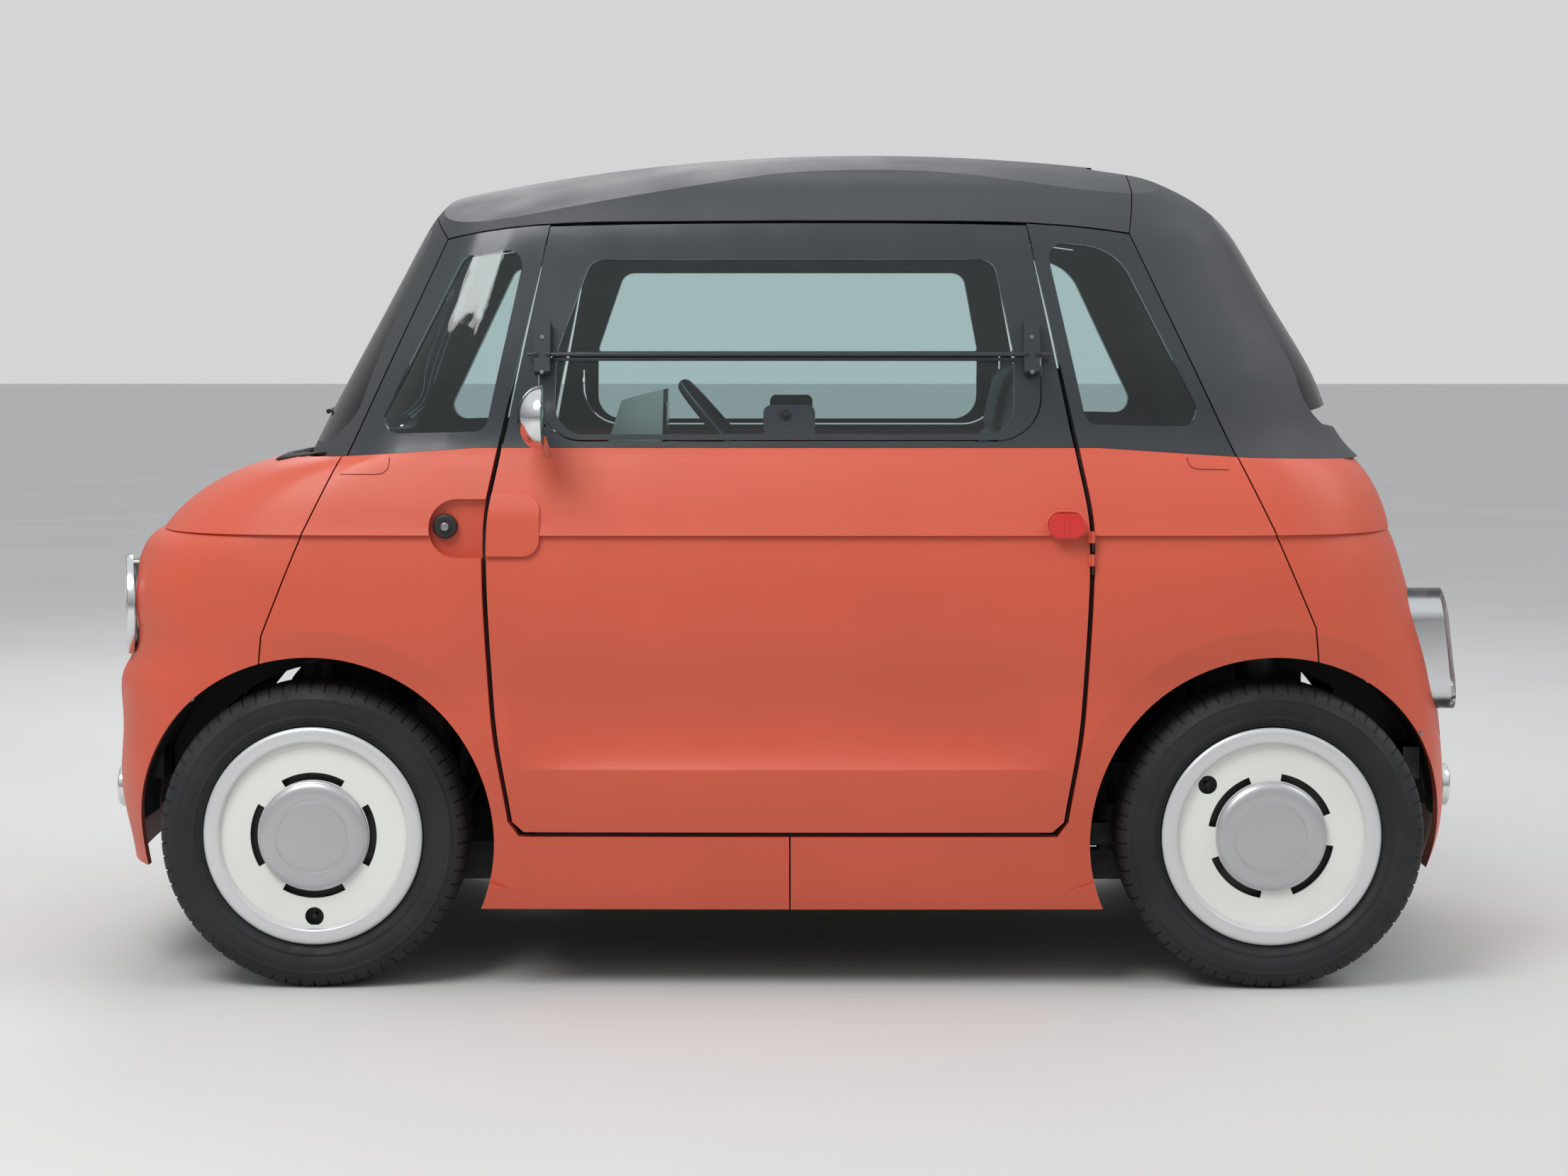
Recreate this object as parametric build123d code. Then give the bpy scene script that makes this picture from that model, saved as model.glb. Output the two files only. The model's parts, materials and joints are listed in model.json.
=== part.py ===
from build123d import *
import math
import os

# Two-seat city microcar: moulded lower body in two halves per side, dark upper body with flush windows,
# hinged doors, steered front wheels and a plain steel underframe.
#
# Frame: +X is forward, +Y is the car's left, +Z is up, and the origin is on the ground under the middle of the
# car. Sizes are in millimetres.

# ---------------------------------------------------------------- driving dimensions
LENGTH = 2535.0
HEIGHT = 1530.0
WHEELBASE = 1730.0
FRONT_OVERHANG = 420.0
BODY_WIDTH = 1400.0

FRONT_AXLE_X = LENGTH / 2 - FRONT_OVERHANG
REAR_AXLE_X = FRONT_AXLE_X - WHEELBASE
NOSE_X = LENGTH / 2 - 2.0           # front face of the bumper at the centre line
TAIL_X = LENGTH / 2 - 2.0           # distance from the origin back to the tail
HALF_WIDTH = BODY_WIDTH / 2

SILL_Z = 148.0                      # lower edge of the side panels
FASCIA_Z = 206.0                    # lower edge of nose and tail
CREASE_Z = 825.0                    # the line that runs round the body
BELT = [(-1400, 947), (-840, 961), (-566, 979), (548, 979), (815, 961), (1400, 943)]   # top edge, side view

SIDE_WALL = 32.0                    # wing, quarter and door thickness
FASCIA_WALL = 14.0
UPPER_WALL = 26.0
GLASS_T = 5.0
GLASS_GAP = 0.3                     # clearance round bonded glass
PANEL_GAP = 3.0                     # fixed seams
DOOR_GAP = 9.0                      # round the doors
SEAL_GAP = 6.0                      # rubber-filled seams of the upper body
SEAT_GAP = 0.3                      # where one piece rests against another

WHEEL_R = 278.5                     # 155/65 R14 tyre
TYRE_W = 155.0
WHEEL_Y = 575.0                     # tyre centre plane
RIM_R = 195.0
ARCH_R = 330.0
ARCH_Z = 276.0
STEER_DEG = 32.0
STEERING_RATIO = 16.0
DOOR_OPEN_DEG = 68.0

ROOF_PEAK_X = -150.0
ROOF_CROWN = 72.0                   # fall of the roof skin at 500 mm from the centre line
HEADER_X = 610.0                    # seam between windscreen frame and roof
REAR_SEAM_X = -628.0                # seam between roof and rear shell

OUT = "parts"
os.makedirs(OUT, exist_ok=True)


# ---------------------------------------------------------------- skins
def ring(z, front, rear, half, corner, power, bulge, bow):
    """One closed contour of the body at height z: flat-sided, with a superellipse at each end."""
    points = []
    steps = 28
    for sign, reach in ((1, front), (-1, rear)):
        for i in range(steps + 1):
            a = -math.pi / 2 + math.pi * i / steps
            x = corner + (reach - corner) * max(math.cos(a), 0.0) ** (2 / power)
            y = half * math.copysign(abs(math.sin(a)) ** (2 / power), math.sin(a))
            x -= bow * (y / 1000) ** 2 * 1000
            points.append((sign * x, sign * y))
        start, end = (corner, -corner) if sign > 0 else (-corner, corner)
        flank = 6
        start -= sign * bow * (half / 1000) ** 2 * 1000
        end += sign * bow * (half / 1000) ** 2 * 1000
        points += [(start + (end - start) * k / (flank + 1), sign * half) for k in range(1, flank + 1)]
    return [Vector(x, y * (1 - bulge * (x / 1000) ** 2), z) for x, y in points]


def closed_spline(points):
    n = len(points)
    return Wire([Edge.make_spline(points, periodic=True, parameters=[i / n for i in range(n + 1)])])


def lofted(levels, corner, power, bulge, bow):
    return Solid.make_loft([closed_spline(ring(*lv, corner, power, bulge, bow)) for lv in levels], ruled=False)


# height, reach ahead, reach behind, half width; the first and last rows of each band are its edges
FLANK = [
    (130.0, -50.0, -50.0, -52.0),
    (200.0, -22.0, -24.0, -32.0),
    (300.0, -4.0, -3.0, -14.0),
    (406.0, 0.0, -7.0, -3.0),
    (500.0, -1.0, -17.0, -8.0),
    (552.0, -4.0, -26.0, -9.0),
    (592.0, -25.0, -37.0, -5.0),
    (660.0, -25.0, -60.0, -2.0),
    (735.0, -28.0, -84.0, -4.0),
    (775.0, -42.0, -96.0, -8.0),
    (CREASE_Z, -92.0, -118.0, -16.0),
]
SHOULDER = [
    (CREASE_Z, -88.0, -114.0, -8.0),
    (855.0, -114.0, -121.0, -17.0),
    (890.0, -156.0, -135.0, -27.0),
    (920.0, -207.0, -152.0, -37.0),
    (945.0, -272.0, -172.0, -46.0),
    (962.0, -345.0, -190.0, -53.0),
    (985.0, -400.0, -208.0, -61.0),
]
LOWER = dict(corner=600.0, power=5.0, bulge=0.02, bow=0.08)


def inset(table, d, drop=0.0):
    return [(z - drop, NOSE_X + f - d, TAIL_X + r - d, HALF_WIDTH + w - d) for z, f, r, w in table]


def beyond(row, inner, rise):
    """One more contour at the end of a list, on the line through its last two."""
    t = rise / (row[0] - inner[0])
    return tuple(a + (a - b) * t for a, b in zip(row, inner))


def lower_hull(d, drop=0.0):
    """The coloured body as a filled solid, its skin taken in by d; only the outer skin has the crease."""
    flank, shoulder = inset(FLANK, d), inset(SHOULDER, d, drop)
    if not d:
        return lofted(flank, **LOWER) + lofted(shoulder, **LOWER)
    foot, top = beyond(flank[0], flank[1], -30), beyond(shoulder[-1], shoulder[-2], 14)
    return lofted([foot] + flank[:-1] + shoulder[1:] + [top], **LOWER)


# height, reach ahead, reach behind, half width; the upper rows roll over into the roof
DOME = [
    (900.0, 930.0, 1116.0, 653.0),
    (970.0, 896.0, 1079.0, 636.0),
    (1090.0, 834.0, 1016.0, 609.0),
    (1210.0, 769.0, 948.0, 580.0),
    (1320.0, 710.0, 883.0, 552.0),
    (1375.0, 680.0, 848.0, 536.0),
    (1410.0, 656.0, 814.0, 519.0),
    (1437.0, 627.0, 775.0, 497.0),
    (1460.0, 588.0, 731.0, 466.0),
    (1480.0, 534.0, 672.0, 426.0),
    (1500.0, 455.0, 585.0, 372.0),
    (1545.0, 380.0, 400.0, 300.0),
]
UPPER = dict(corner=300.0, power=6.0, bulge=0.02, bow=0.10)


def dome(d):
    """The upper body's flanks as rings, moved inward by d along their normals."""
    levels = []
    for i, (z, front, rear, half) in enumerate(DOME):
        (z0, _, _, w0), (z1, _, _, w1) = DOME[max(i - 1, 0)], DOME[min(i + 1, len(DOME) - 1)]
        run = math.hypot(w1 - w0, z1 - z0)
        across, up = (z1 - z0) / run * d, (w0 - w1) / run * d
        levels.append((z - up, front - across, rear - across, half - across))
    foot = [beyond(levels[0], levels[1], -30)] if d else []
    return lofted(foot + levels, **UPPER)


def roof_height(x, y):
    k = 1.36e-4 if x > ROOF_PEAK_X else 1.2e-4
    return HEIGHT - k * (x - ROOF_PEAK_X) ** 2 - ROOF_CROWN * (abs(y) / 500) ** 2.6


def upper_hull(d):
    """The upper body as a filled solid, its skin taken in by d."""
    grid = [[Vector(x, y, roof_height(x, y) - d) for y in range(-800, 801, 100)]
            for x in range(-1300, 1301, 100)]
    under_roof = extrude(Face.make_surface_from_array_of_points(grid, tol=0.1), amount=-1000, dir=(0, 0, 1))
    return dome(d) & under_roof


# ---------------------------------------------------------------- side-view outlines
def smooth(points):
    return ("smooth", points)


def outline(runs, y=0.0):
    """A closed side-view wire from runs of (x, z) points; a run made by smooth() is one fair curve."""
    edges, last, first = [], None, None
    for run in runs:
        fair = run[0] == "smooth"
        points = [Vector(x, y, z) for x, z in (run[1] if fair else run)]
        first = first or points[0]
        if last is not None and (points[0] - last).length > 1e-6:
            edges.append(Edge.make_line(last, points[0]))
        if fair:
            edges.append(Edge.make_spline(points))
        else:
            edges += [Edge.make_line(p, q) for p, q in zip(points, points[1:])]
        last = points[-1]
    edges.append(Edge.make_line(last, first))
    return Wire(edges)


def prism(runs, y0, y1):
    """A side-view outline carried across the car from y0 to y1."""
    runs = [runs] if isinstance(runs[0][0], (int, float)) else runs
    return extrude(Face(outline(runs, y0)), amount=y1 - y0, dir=(0, 1, 0))


def through(runs):
    return prism(runs, -900, 900)


DOOR_X = -10.5                      # middle of the door opening
DOOR_BOTTOM_Z = 288.0
DOOR_TOP_Z = 1384.0
DOOR_EDGE = [(311, 498), (379, 509), (470, 524), (589, 533), (700, 539), (799, 541.5), (840, 540.5),
             (890, 534), (930, 526), (979, 516.5), (1010, 509.9)]
FRONT_SEAM = [(769, 1010), (859, 821), (931, 644), (938, 580), (938, 100)]
REAR_SEAM = [(-792, 1010), (-876, 836), (-953, 659), (-960, 600), (-960, 100)]
A_PILLAR = [(800, 900), (788, 962), (HEADER_X, 1355), (680, 1450), (690, 1650)]
D_PILLAR = [(-800, 900), (-815, 962), (REAR_SEAM_X, 1364), (-646, 1500), (-650, 1650)]
DOOR_TOP = [(420, 1381), (210, 1385.5), (-10, 1387), (-230, 1386.5), (-441, 1383)]
ROOF_LINE = [(HEADER_X, 1355)] + DOOR_TOP + [(REAR_SEAM_X, 1364)]
SILL_SPLIT_X = -14.0
SCOOP_TOP_Z = 775.0                 # hollow pressed into each door
RIDGE_Z = 406.0                     # sharp ridge along the hollow's foot
SCOOP_REACH = 500.0
SCOOP_DEPTH = 15.0
SCOOP_LIFT = 0.4                    # the hollow starts where it is this deep
BEVEL_WIDTH = 50.0                  # leaning band round the wheel arches
BEVEL_DEPTH = 9.0
HANDLE_X = (480.0, 629.0)           # recess for the fingers, open to the door gap
HANDLE_Z = (784.0, 889.0)
HANDLE_FLOOR_Y = 657.0
PAD = [(432.0, 788.0), (560.0, 788.0), (560.0, 899.0), (432.0, 899.0)]   # raised end of the door beside it
PAD_RISE = 7.0
BUTTON = (601.0, 840.0, 22.0)       # round lock button in the recess: x, z, radius
HINGE_Y = 694.0                     # door hinge line, in the gap at the edge that carries the door
HINGE_X = 541.5                     # from the middle of the door opening
HINGE_Z = (756.0, 797.0)            # lower end of each hinge
PIN_R = 2.0


def door_face(grow):
    """The side-view face inside the door gap's centre line, grown or shrunk."""
    front = [(DOOR_X + x + grow, z) for z, x in DOOR_EDGE]
    rear = [(DOOR_X - x - grow, z) for z, x in DOOR_EDGE[::-1]]
    top = [(x, z + grow) for x, z in DOOR_TOP]
    foot = DOOR_BOTTOM_Z - grow
    return Face(outline([[(DOOR_X + 478 + grow, foot)], smooth(front), smooth(top), smooth(rear),
                         [(DOOR_X - 478 - grow, foot)]]))


def door_block(grow, y0=0.0, y1=900.0):
    return extrude(door_face(grow).moved(Location((0, y0, 0))), amount=y1 - y0, dir=(0, 1, 0))


def box(x0, x1, y0, y1, z0, z1):
    return Solid.make_box(x1 - x0, y1 - y0, z1 - z0).moved(Location((x0, y0, z0)))


def rod(p, q, r):
    p, q = Vector(*p), Vector(*q)
    return Solid.make_cylinder(r, (q - p).length, Plane(origin=p, z_dir=q - p))


def below_belt(y0=-900, y1=900):
    return prism([(-1400, 0), (1400, 0)] + [(x, z - SEAT_GAP / 2) for x, z in BELT[::-1]], y0, y1)


def above_belt(y0=-900, y1=900):
    return prism([(-1400, 1700)] + [(x, z + SEAT_GAP / 2) for x, z in BELT] + [(1400, 1700)], y0, y1)


def arch(x, r, y0=-900.0, y1=900.0):
    return rod((x, y0, ARCH_Z), (x, y1, ARCH_Z), r)


def both(shape):
    """The piece on the left and its mirror image on the right."""
    return [s for part in (shape, shape.mirror(Plane.XZ)) for s in part.solids()]


def save(name, *parts):
    solids = [s for part in parts for s in (part if isinstance(part, list) else part.solids())]
    shape = solids[0] if len(solids) == 1 else Compound(children=solids)
    export_step(shape, os.path.join(OUT, name + ".step"))


def shifted(outline, dx):
    return [(x + dx, z) for x, z in outline]


# ---------------------------------------------------------------- pressings in the coloured skin
def skin_y(body, x, z):
    """How far out the skin of a body lies at one place of the side view."""
    return max(p.Y for p, _ in body.find_intersection_points(Axis((x, 0, z), (0, 1, 0))))


def beyond_surface(rows):
    """Everything outboard of a surface given as rows of points."""
    return extrude(Face.make_surface_from_array_of_points(rows, tol=0.05), amount=120, dir=(0, 1, 0))


def door_scoop(body):
    """What is pressed out of a door: a hollow above a sharp ridge, fading out towards both ends."""
    rows = []
    for i in range(15):
        x = DOOR_X + SCOOP_REACH * (i - 7) / 7
        fade = 1 - abs((x - DOOR_X) / SCOOP_REACH) ** 6
        row = []
        for k in range(13):
            u = k / 12
            z = SCOOP_TOP_Z + (RIDGE_Z - SCOOP_TOP_Z) * u
            depth = SCOOP_DEPTH * math.sin(math.pi * u ** 4) * fade - SCOOP_LIFT
            row.append(Vector(x, skin_y(body, x, z) - depth, z))
        rows.append(row)
    return beyond_surface(rows)


def arch_bevel(body, axle_x, start, stop):
    """The band round a wheel arch that leans inward; start and stop are angles from straight ahead."""
    rows = []
    steps = 24
    for i in range(steps + 1):
        angle = math.radians(start + (stop - start) * i / steps)
        ends = (i if axle_x > 0 else steps - i) / 5
        row = []
        for r in (ARCH_R - 12, ARCH_R + 8, ARCH_R + 28, ARCH_R + BEVEL_WIDTH + 10):
            x, z = axle_x + r * math.cos(angle), ARCH_Z + r * math.sin(angle)
            depth = BEVEL_DEPTH * (1 - (r - ARCH_R) / BEVEL_WIDTH) * min(ends, 1) - 0.3 * (ends < 1)
            row.append(Vector(x, skin_y(body, x, z) - depth, z))
        rows.append(row)
    return beyond_surface(rows)


def end_for_end(shape):
    """The same piece with nose and tail exchanged about the middle of the door opening."""
    return shape.mirror(Plane(origin=(DOOR_X, 0, 0), z_dir=(1, 0, 0)))


def handle_recess():
    (x0, x1), (z0, z1) = HANDLE_X, HANDLE_Z
    return side_cut([(x0, z0), (x1, z0), (x1, z1), (x0, z1)], [2, 50, 50, 2], 0, HANDLE_FLOOR_Y, 760)


def lock_button():
    x, z, r = BUTTON
    button = rod((x, HANDLE_FLOOR_Y + SEAT_GAP, z), (x, HANDLE_FLOOR_Y + 14, z), r)
    button = button.fillet(5, button.edges().filter_by(lambda e: e.center().Y > HANDLE_FLOOR_Y + 13))
    return button + rod((x, HANDLE_FLOOR_Y + 13, z), (x, HANDLE_FLOOR_Y + 19, z), r * 0.45)


def door_pad():
    """The raised pad that carries the line of the recess on to the door."""
    proud = lower_hull(-PAD_RISE) - lower_hull(10)
    return proud & side_cut(PAD, [30, 2, 2, 30], 0, 600, 760) & door_block(-DOOR_GAP / 2)


# ---------------------------------------------------------------- coloured lower body
def side_panels(shell):
    """Front and rear side panels of the left side: wing or quarter with its half of the sill."""
    g = PANEL_GAP / 2
    left = shell & below_belt(0) & box(-1300, 1300, 0, 900, SILL_Z, 1100)
    left = left - door_block(DOOR_GAP / 2) - arch(FRONT_AXLE_X, ARCH_R) - arch(REAR_AXLE_X, ARCH_R)
    front = left & through([(SILL_SPLIT_X + g, 0), (SILL_SPLIT_X + g, 1010)] + shifted(FRONT_SEAM, -g))
    rear = left & through([(SILL_SPLIT_X - g, 0), (SILL_SPLIT_X - g, 1010)] + shifted(REAR_SEAM, g))
    return front, rear


def fascias(shell):
    g = PANEL_GAP / 2
    shell = shell & below_belt()
    arches = arch(FRONT_AXLE_X, ARCH_R) + arch(REAR_AXLE_X, ARCH_R)
    front = shell & through(shifted(FRONT_SEAM, g) + [(1400, 100), (1400, 1010)])
    rear = shell & through(shifted(REAR_SEAM, -g) + [(-1400, 100), (-1400, 1010)])
    front = front & box(700, 1400, -900, 900, FASCIA_Z, 1010)
    rear = rear & box(-1400, -700, -900, 900, 190, 1010)
    return front - arches, rear - arches


# ---------------------------------------------------------------- upper body
SCREEN = [(560, 985), (436, 1374)]
BACKLIGHT = [(520, 1010), (415, 1400)]
FRONT_QUARTER = [(578, 1323), (463, 1340), (533, 1008), (737, 1003)]
REAR_QUARTER = [(-474, 1351), (-604, 1336), (-762, 1017), (-546, 1020)]
DOOR_LIGHT = [(346, 1317), (407, 1149), (-416, 1149), (-382, 1317)]
FLAP = [(440, 1143), (440, 990), (-466, 990), (-466, 1143)]
LATCH_TAB = [(34, 996), (34, 1055), (-59, 1055), (-59, 996)]
FLAP_LIGHT = [(407, 1134), (409, 1003), (-416, 1003), (-416, 1134)]


def rounded(points, radii, plane="side"):
    """A face from corner points with each corner rounded; side view (x, z) or front view (y, z)."""
    place = (lambda a, b: Vector(a, 0, b)) if plane == "side" else (lambda a, b: Vector(0, a, b))
    face = Face(Wire.make_polygon([place(a, b) for a, b in points], close=True))
    corners = face.vertices()
    for point, radius in zip(points, radii):
        here = place(*point)
        corner = min(face.vertices(), key=lambda v: (Vector(v) - here).length)
        face = face.fillet_2d(radius, [corner])
    return face


def side_cut(points, radii, grow=0.0, y0=300.0, y1=900.0):
    face = rounded(points, radii)
    if grow:
        face = Face(face.outer_wire().offset_2d(grow))
    return extrude(face.moved(Location((0, y0, 0))), amount=y1 - y0, dir=(0, 1, 0))


def end_cut(corners, radius, ahead, grow=0.0):
    (w0, z0), (w1, z1) = corners
    face = rounded([(-w0, z0), (w0, z0), (w1, z1), (-w1, z1)], [radius] * 4, "front")
    if grow:
        face = Face(face.outer_wire().offset_2d(grow))
    x0, x1 = (300, 1200) if ahead else (-1300, -500)
    return extrude(face.moved(Location((x0, 0, 0))), amount=x1 - x0, dir=(1, 0, 0))


def upper_pieces(shell, skin, flap_skin):
    g = PANEL_GAP / 2
    shell = shell & above_belt()
    out = {}
    screen_zone = through(shifted(A_PILLAR, g) + [(1300, 1650), (1300, 900)])
    rear_zone = through(shifted(D_PILLAR, -g) + [(-1300, 1650), (-1300, 900)])
    out["windscreen_frame"] = (shell & screen_zone) - end_cut(SCREEN, 60, True)
    out["windscreen"] = skin & end_cut(SCREEN, 60, True, -GLASS_GAP)
    out["rear_shell"] = (shell & rear_zone) - end_cut(BACKLIGHT, 60, False)
    out["rear_window"] = skin & end_cut(BACKLIGHT, 60, False, -GLASS_GAP)
    over = smooth([(x, z + g) for x, z in ROOF_LINE])
    out["roof_panel"] = shell & through([over, shifted(D_PILLAR[3:], g) + shifted(A_PILLAR[3:], -g)[::-1]])
    sides = shell & box(-1300, 1300, 300, 900, 900, 1500)
    under = smooth([(x, z - g) for x, z in ROOF_LINE])
    sides = sides & through([under, shifted(D_PILLAR[1::-1], g) + shifted(A_PILLAR[:2], -g)])
    fixed = sides - side_cut(FRONT_QUARTER, [28] * 4) - side_cut(REAR_QUARTER, [28, 100, 28, 28])
    fixed = fixed - door_block(DOOR_GAP / 2)
    out["quarter_frames"] = both(fixed)
    glass = [skin & side_cut(FRONT_QUARTER, [28] * 4, -GLASS_GAP),
             skin & side_cut(REAR_QUARTER, [28, 100, 28, 28], -GLASS_GAP)]
    out["quarter_windows"] = [s for g1 in glass for s in both(g1)]
    door = sides - side_cut(DOOR_LIGHT, [30, 6, 6, 30]) - side_cut(FLAP, [4, 80, 80, 4])
    out["door_frame"] = door & door_block(-DOOR_GAP / 2)
    ring = flap_skin & side_cut(FLAP, [4, 80, 80, 4], -3.0)
    tab = side_cut(LATCH_TAB, [2, 14, 14, 2])
    out["flap"] = ring - (side_cut(FLAP_LIGHT, [6, 50, 50, 6]) - tab)
    out["door_glass"] = [skin & side_cut(DOOR_LIGHT, [30, 6, 6, 30], -GLASS_GAP),
                         (skin & side_cut(FLAP_LIGHT, [6, 50, 50, 6], -GLASS_GAP))
                         - side_cut(LATCH_TAB, [2, 14, 14, 2], GLASS_GAP)]
    return out


# ---------------------------------------------------------------- wheels
def spun(profile, y):
    """Revolve a closed (radius, offset) profile about the wheel axis through x = 0, z = 0."""
    wire = Wire.make_polygon([Vector(r, y + o, 0) for r, o in profile], close=True)
    return revolve(Face(wire), Axis((0, 0, 0), (0, 1, 0)), 360)


TYRE = [(190, 58), (198, 59.5), (216, 72), (238, 77.5), (258, 73), (271, 64), (277, 50), (WHEEL_R, 0)]
TYRE_INNER = [(266, 0), (262, 52), (240, 65), (216, 59), (203, 46), (190, 46)]


SLOT_R = (101.0, 114.5)              # four arc slots in each wheel cover
SLOT_ARC = 60.0
VALVE_R = (148.0, 17.0)             # place and radius of the notch for the tyre valve


def cover_cuts(turn):
    """The slots and the valve notch of a cover, with the notch at an angle from straight ahead."""
    r0, r1 = SLOT_R
    strip = Face(Wire.make_polygon([Vector(r, y, 0) for r, y in ((r0, -90), (r1, -90), (r1, 90), (r0, 90))],
                                   close=True))
    slot = revolve(strip, Axis((0, 0, 0), (0, 1, 0)), SLOT_ARC).rotate(Axis.Y, -SLOT_ARC / 2)
    cuts = [slot.rotate(Axis.Y, -turn + 90 * k) for k in range(4)]
    reach, r = VALVE_R
    place = (reach * math.cos(math.radians(turn)), reach * math.sin(math.radians(turn)))
    notch = rod((place[0], -90, place[1]), (place[0], 90, place[1]), r) & rod((0, -90, 0), (0, 90, 0), 164)
    return cuts + [notch]


def wheel(side, turn):
    """Tyre, rim and cover centred on the origin; side is +1 when the outside faces +Y."""
    tyre = (TYRE + [(r, -o) for r, o in TYRE[-2::-1]] + [(r, -o) for r, o in TYRE_INNER[::-1]]
            + TYRE_INNER[1:])
    rim = [(20.06, 33), (20.06, -20), (60, -20), (60, 20), (150, 22), (180, 10), (180, -66), (197, -66),
           (197, -60.2), (189.8, -60.2), (189.8, 60.2), (197, 60.2), (197, 65), (178, 65), (178, 33)]
    cover = [(0, 72), (88, 72), (99, 66), (99, 58), (168, 58), (171, 69), (194, 69), (197, 65.3),
             (172, 65.3), (169, 54), (0, 54)]
    tyre, rim, cover = [spun([(r, side * o) for r, o in p], 0) for p in (tyre, rim, cover)]
    for cut in cover_cuts(turn):
        cover = cover - cut
    return tyre, rim, cover


# ---------------------------------------------------------------- running gear
KING_LOW = (0.0, 530.0, 175.0)
KING_TOP = (0.0, 440.0, 640.0)


def king_point(z, dx=0.0):
    t = (z - KING_LOW[2]) / (KING_TOP[2] - KING_LOW[2])
    return (FRONT_AXLE_X + dx, KING_LOW[1] + t * (KING_TOP[1] - KING_LOW[1]), z)


def knuckle():
    upright = box(FRONT_AXLE_X - 30, FRONT_AXLE_X + 30, 500, 540, 190, 360)
    stub = rod((FRONT_AXLE_X, 530, WHEEL_R), (FRONT_AXLE_X, 600, WHEEL_R), 20)
    strut = rod(king_point(330), king_point(628), 20)
    spring = rod(king_point(575), king_point(628), 44)
    pin = rod(king_point(152), king_point(200), 7) + rod(king_point(620), king_point(672), 8)
    return upright + stub + strut + spring + pin


def front_suspension():
    x = FRONT_AXLE_X
    arm = box(x - 22, x + 22, 340.3, 550, 160, 176) + box(x - 22, x + 22, 340.3, 356, 150, 200)
    return arm - rod(king_point(120), king_point(240), 7.3)


def rear_suspension():
    x = REAR_AXLE_X
    stub = rod((x, 500, WHEEL_R), (x, 600, WHEEL_R), 20)
    carrier = box(x - 35, x + 35, 490, 540, 215, 340)
    damper = rod((x, 430, 270), (x, 430, 628 - SEAT_GAP), 22) + rod((x, 430, 470), (x, 430, 618), 44)
    arm = box(x - 25, -562, 405, 455, 235, 275)
    half = stub + carrier + damper + arm
    return half + half.mirror(Plane.XZ) + rod((x, -540, WHEEL_R), (x, 540, WHEEL_R), 30)


RAIL_TOP = 205 - SEAT_GAP


def hoop(line, width, body, wall, depth=22.0):
    """A bent frame member that follows the inside of a skin in the plane of a side-view line."""
    band = through(shifted(line, -width / 2) + shifted(line, width / 2)[::-1])
    return (body(wall + SEAT_GAP) - body(wall + SEAT_GAP + depth)) & band


JAMB_TOP_Z = 970


def jamb_line(ahead):
    sign = 1 if ahead else -1
    return [(DOOR_X + sign * (x + 11.5), z) for z, x in ((205, 479), *DOOR_EDGE[:-1:2], (1010, 509.9))]


def door_hoop(ahead):
    """Hoop behind one edge of both doors, joined to the jamb posts; one side carries the hinge pins."""
    sign = 1 if ahead else -1
    line = [(DOOR_X + sign * x, z) for x, z in ((530, 960), (447, 1383), (430, 1450), (430, 1600))]
    half = box(-1400, 1400, 0, 900, 0, 1600)
    top = hoop(line, 17, upper_hull, UPPER_WALL) & half
    jamb = hoop(jamb_line(ahead), 21, lower_hull, SIDE_WALL) & box(-1400, 1400, 0, 900, 0, JAMB_TOP_Z)
    carrier = jamb
    for pin in hinge_pins(-sign):
        carrier = carrier + pin
    hinged, plain = top + carrier, top + jamb
    if ahead:
        hinged, plain = hinged.mirror(Plane.XZ), plain.mirror(Plane.XZ)
    return hinged + plain.mirror(Plane.XZ)


def safety_frame():
    """Hoops behind the door edges and the pillar seams, joined to posts inside the lower body."""
    pillars = [hoop(A_PILLAR, 26, upper_hull, UPPER_WALL), hoop(D_PILLAR, 26, upper_hull, UPPER_WALL)]
    return [door_hoop(True), door_hoop(False)] + pillars


def hinge_pins(sign):
    """Two pins per door on thin leaves that reach out through the gap from the jamb."""
    x = DOOR_X - sign * HINGE_X
    pins = []
    for z in HINGE_Z:
        leaf = box(x - 1, x + 1, 640, HINGE_Y, z, z + 15)
        pins.append(rod((x, HINGE_Y, z), (x, HINGE_Y, z + 38), PIN_R) + leaf)
    return pins


JACK_X = (400, -440)
JACK_PAD_Z = 150


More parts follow.
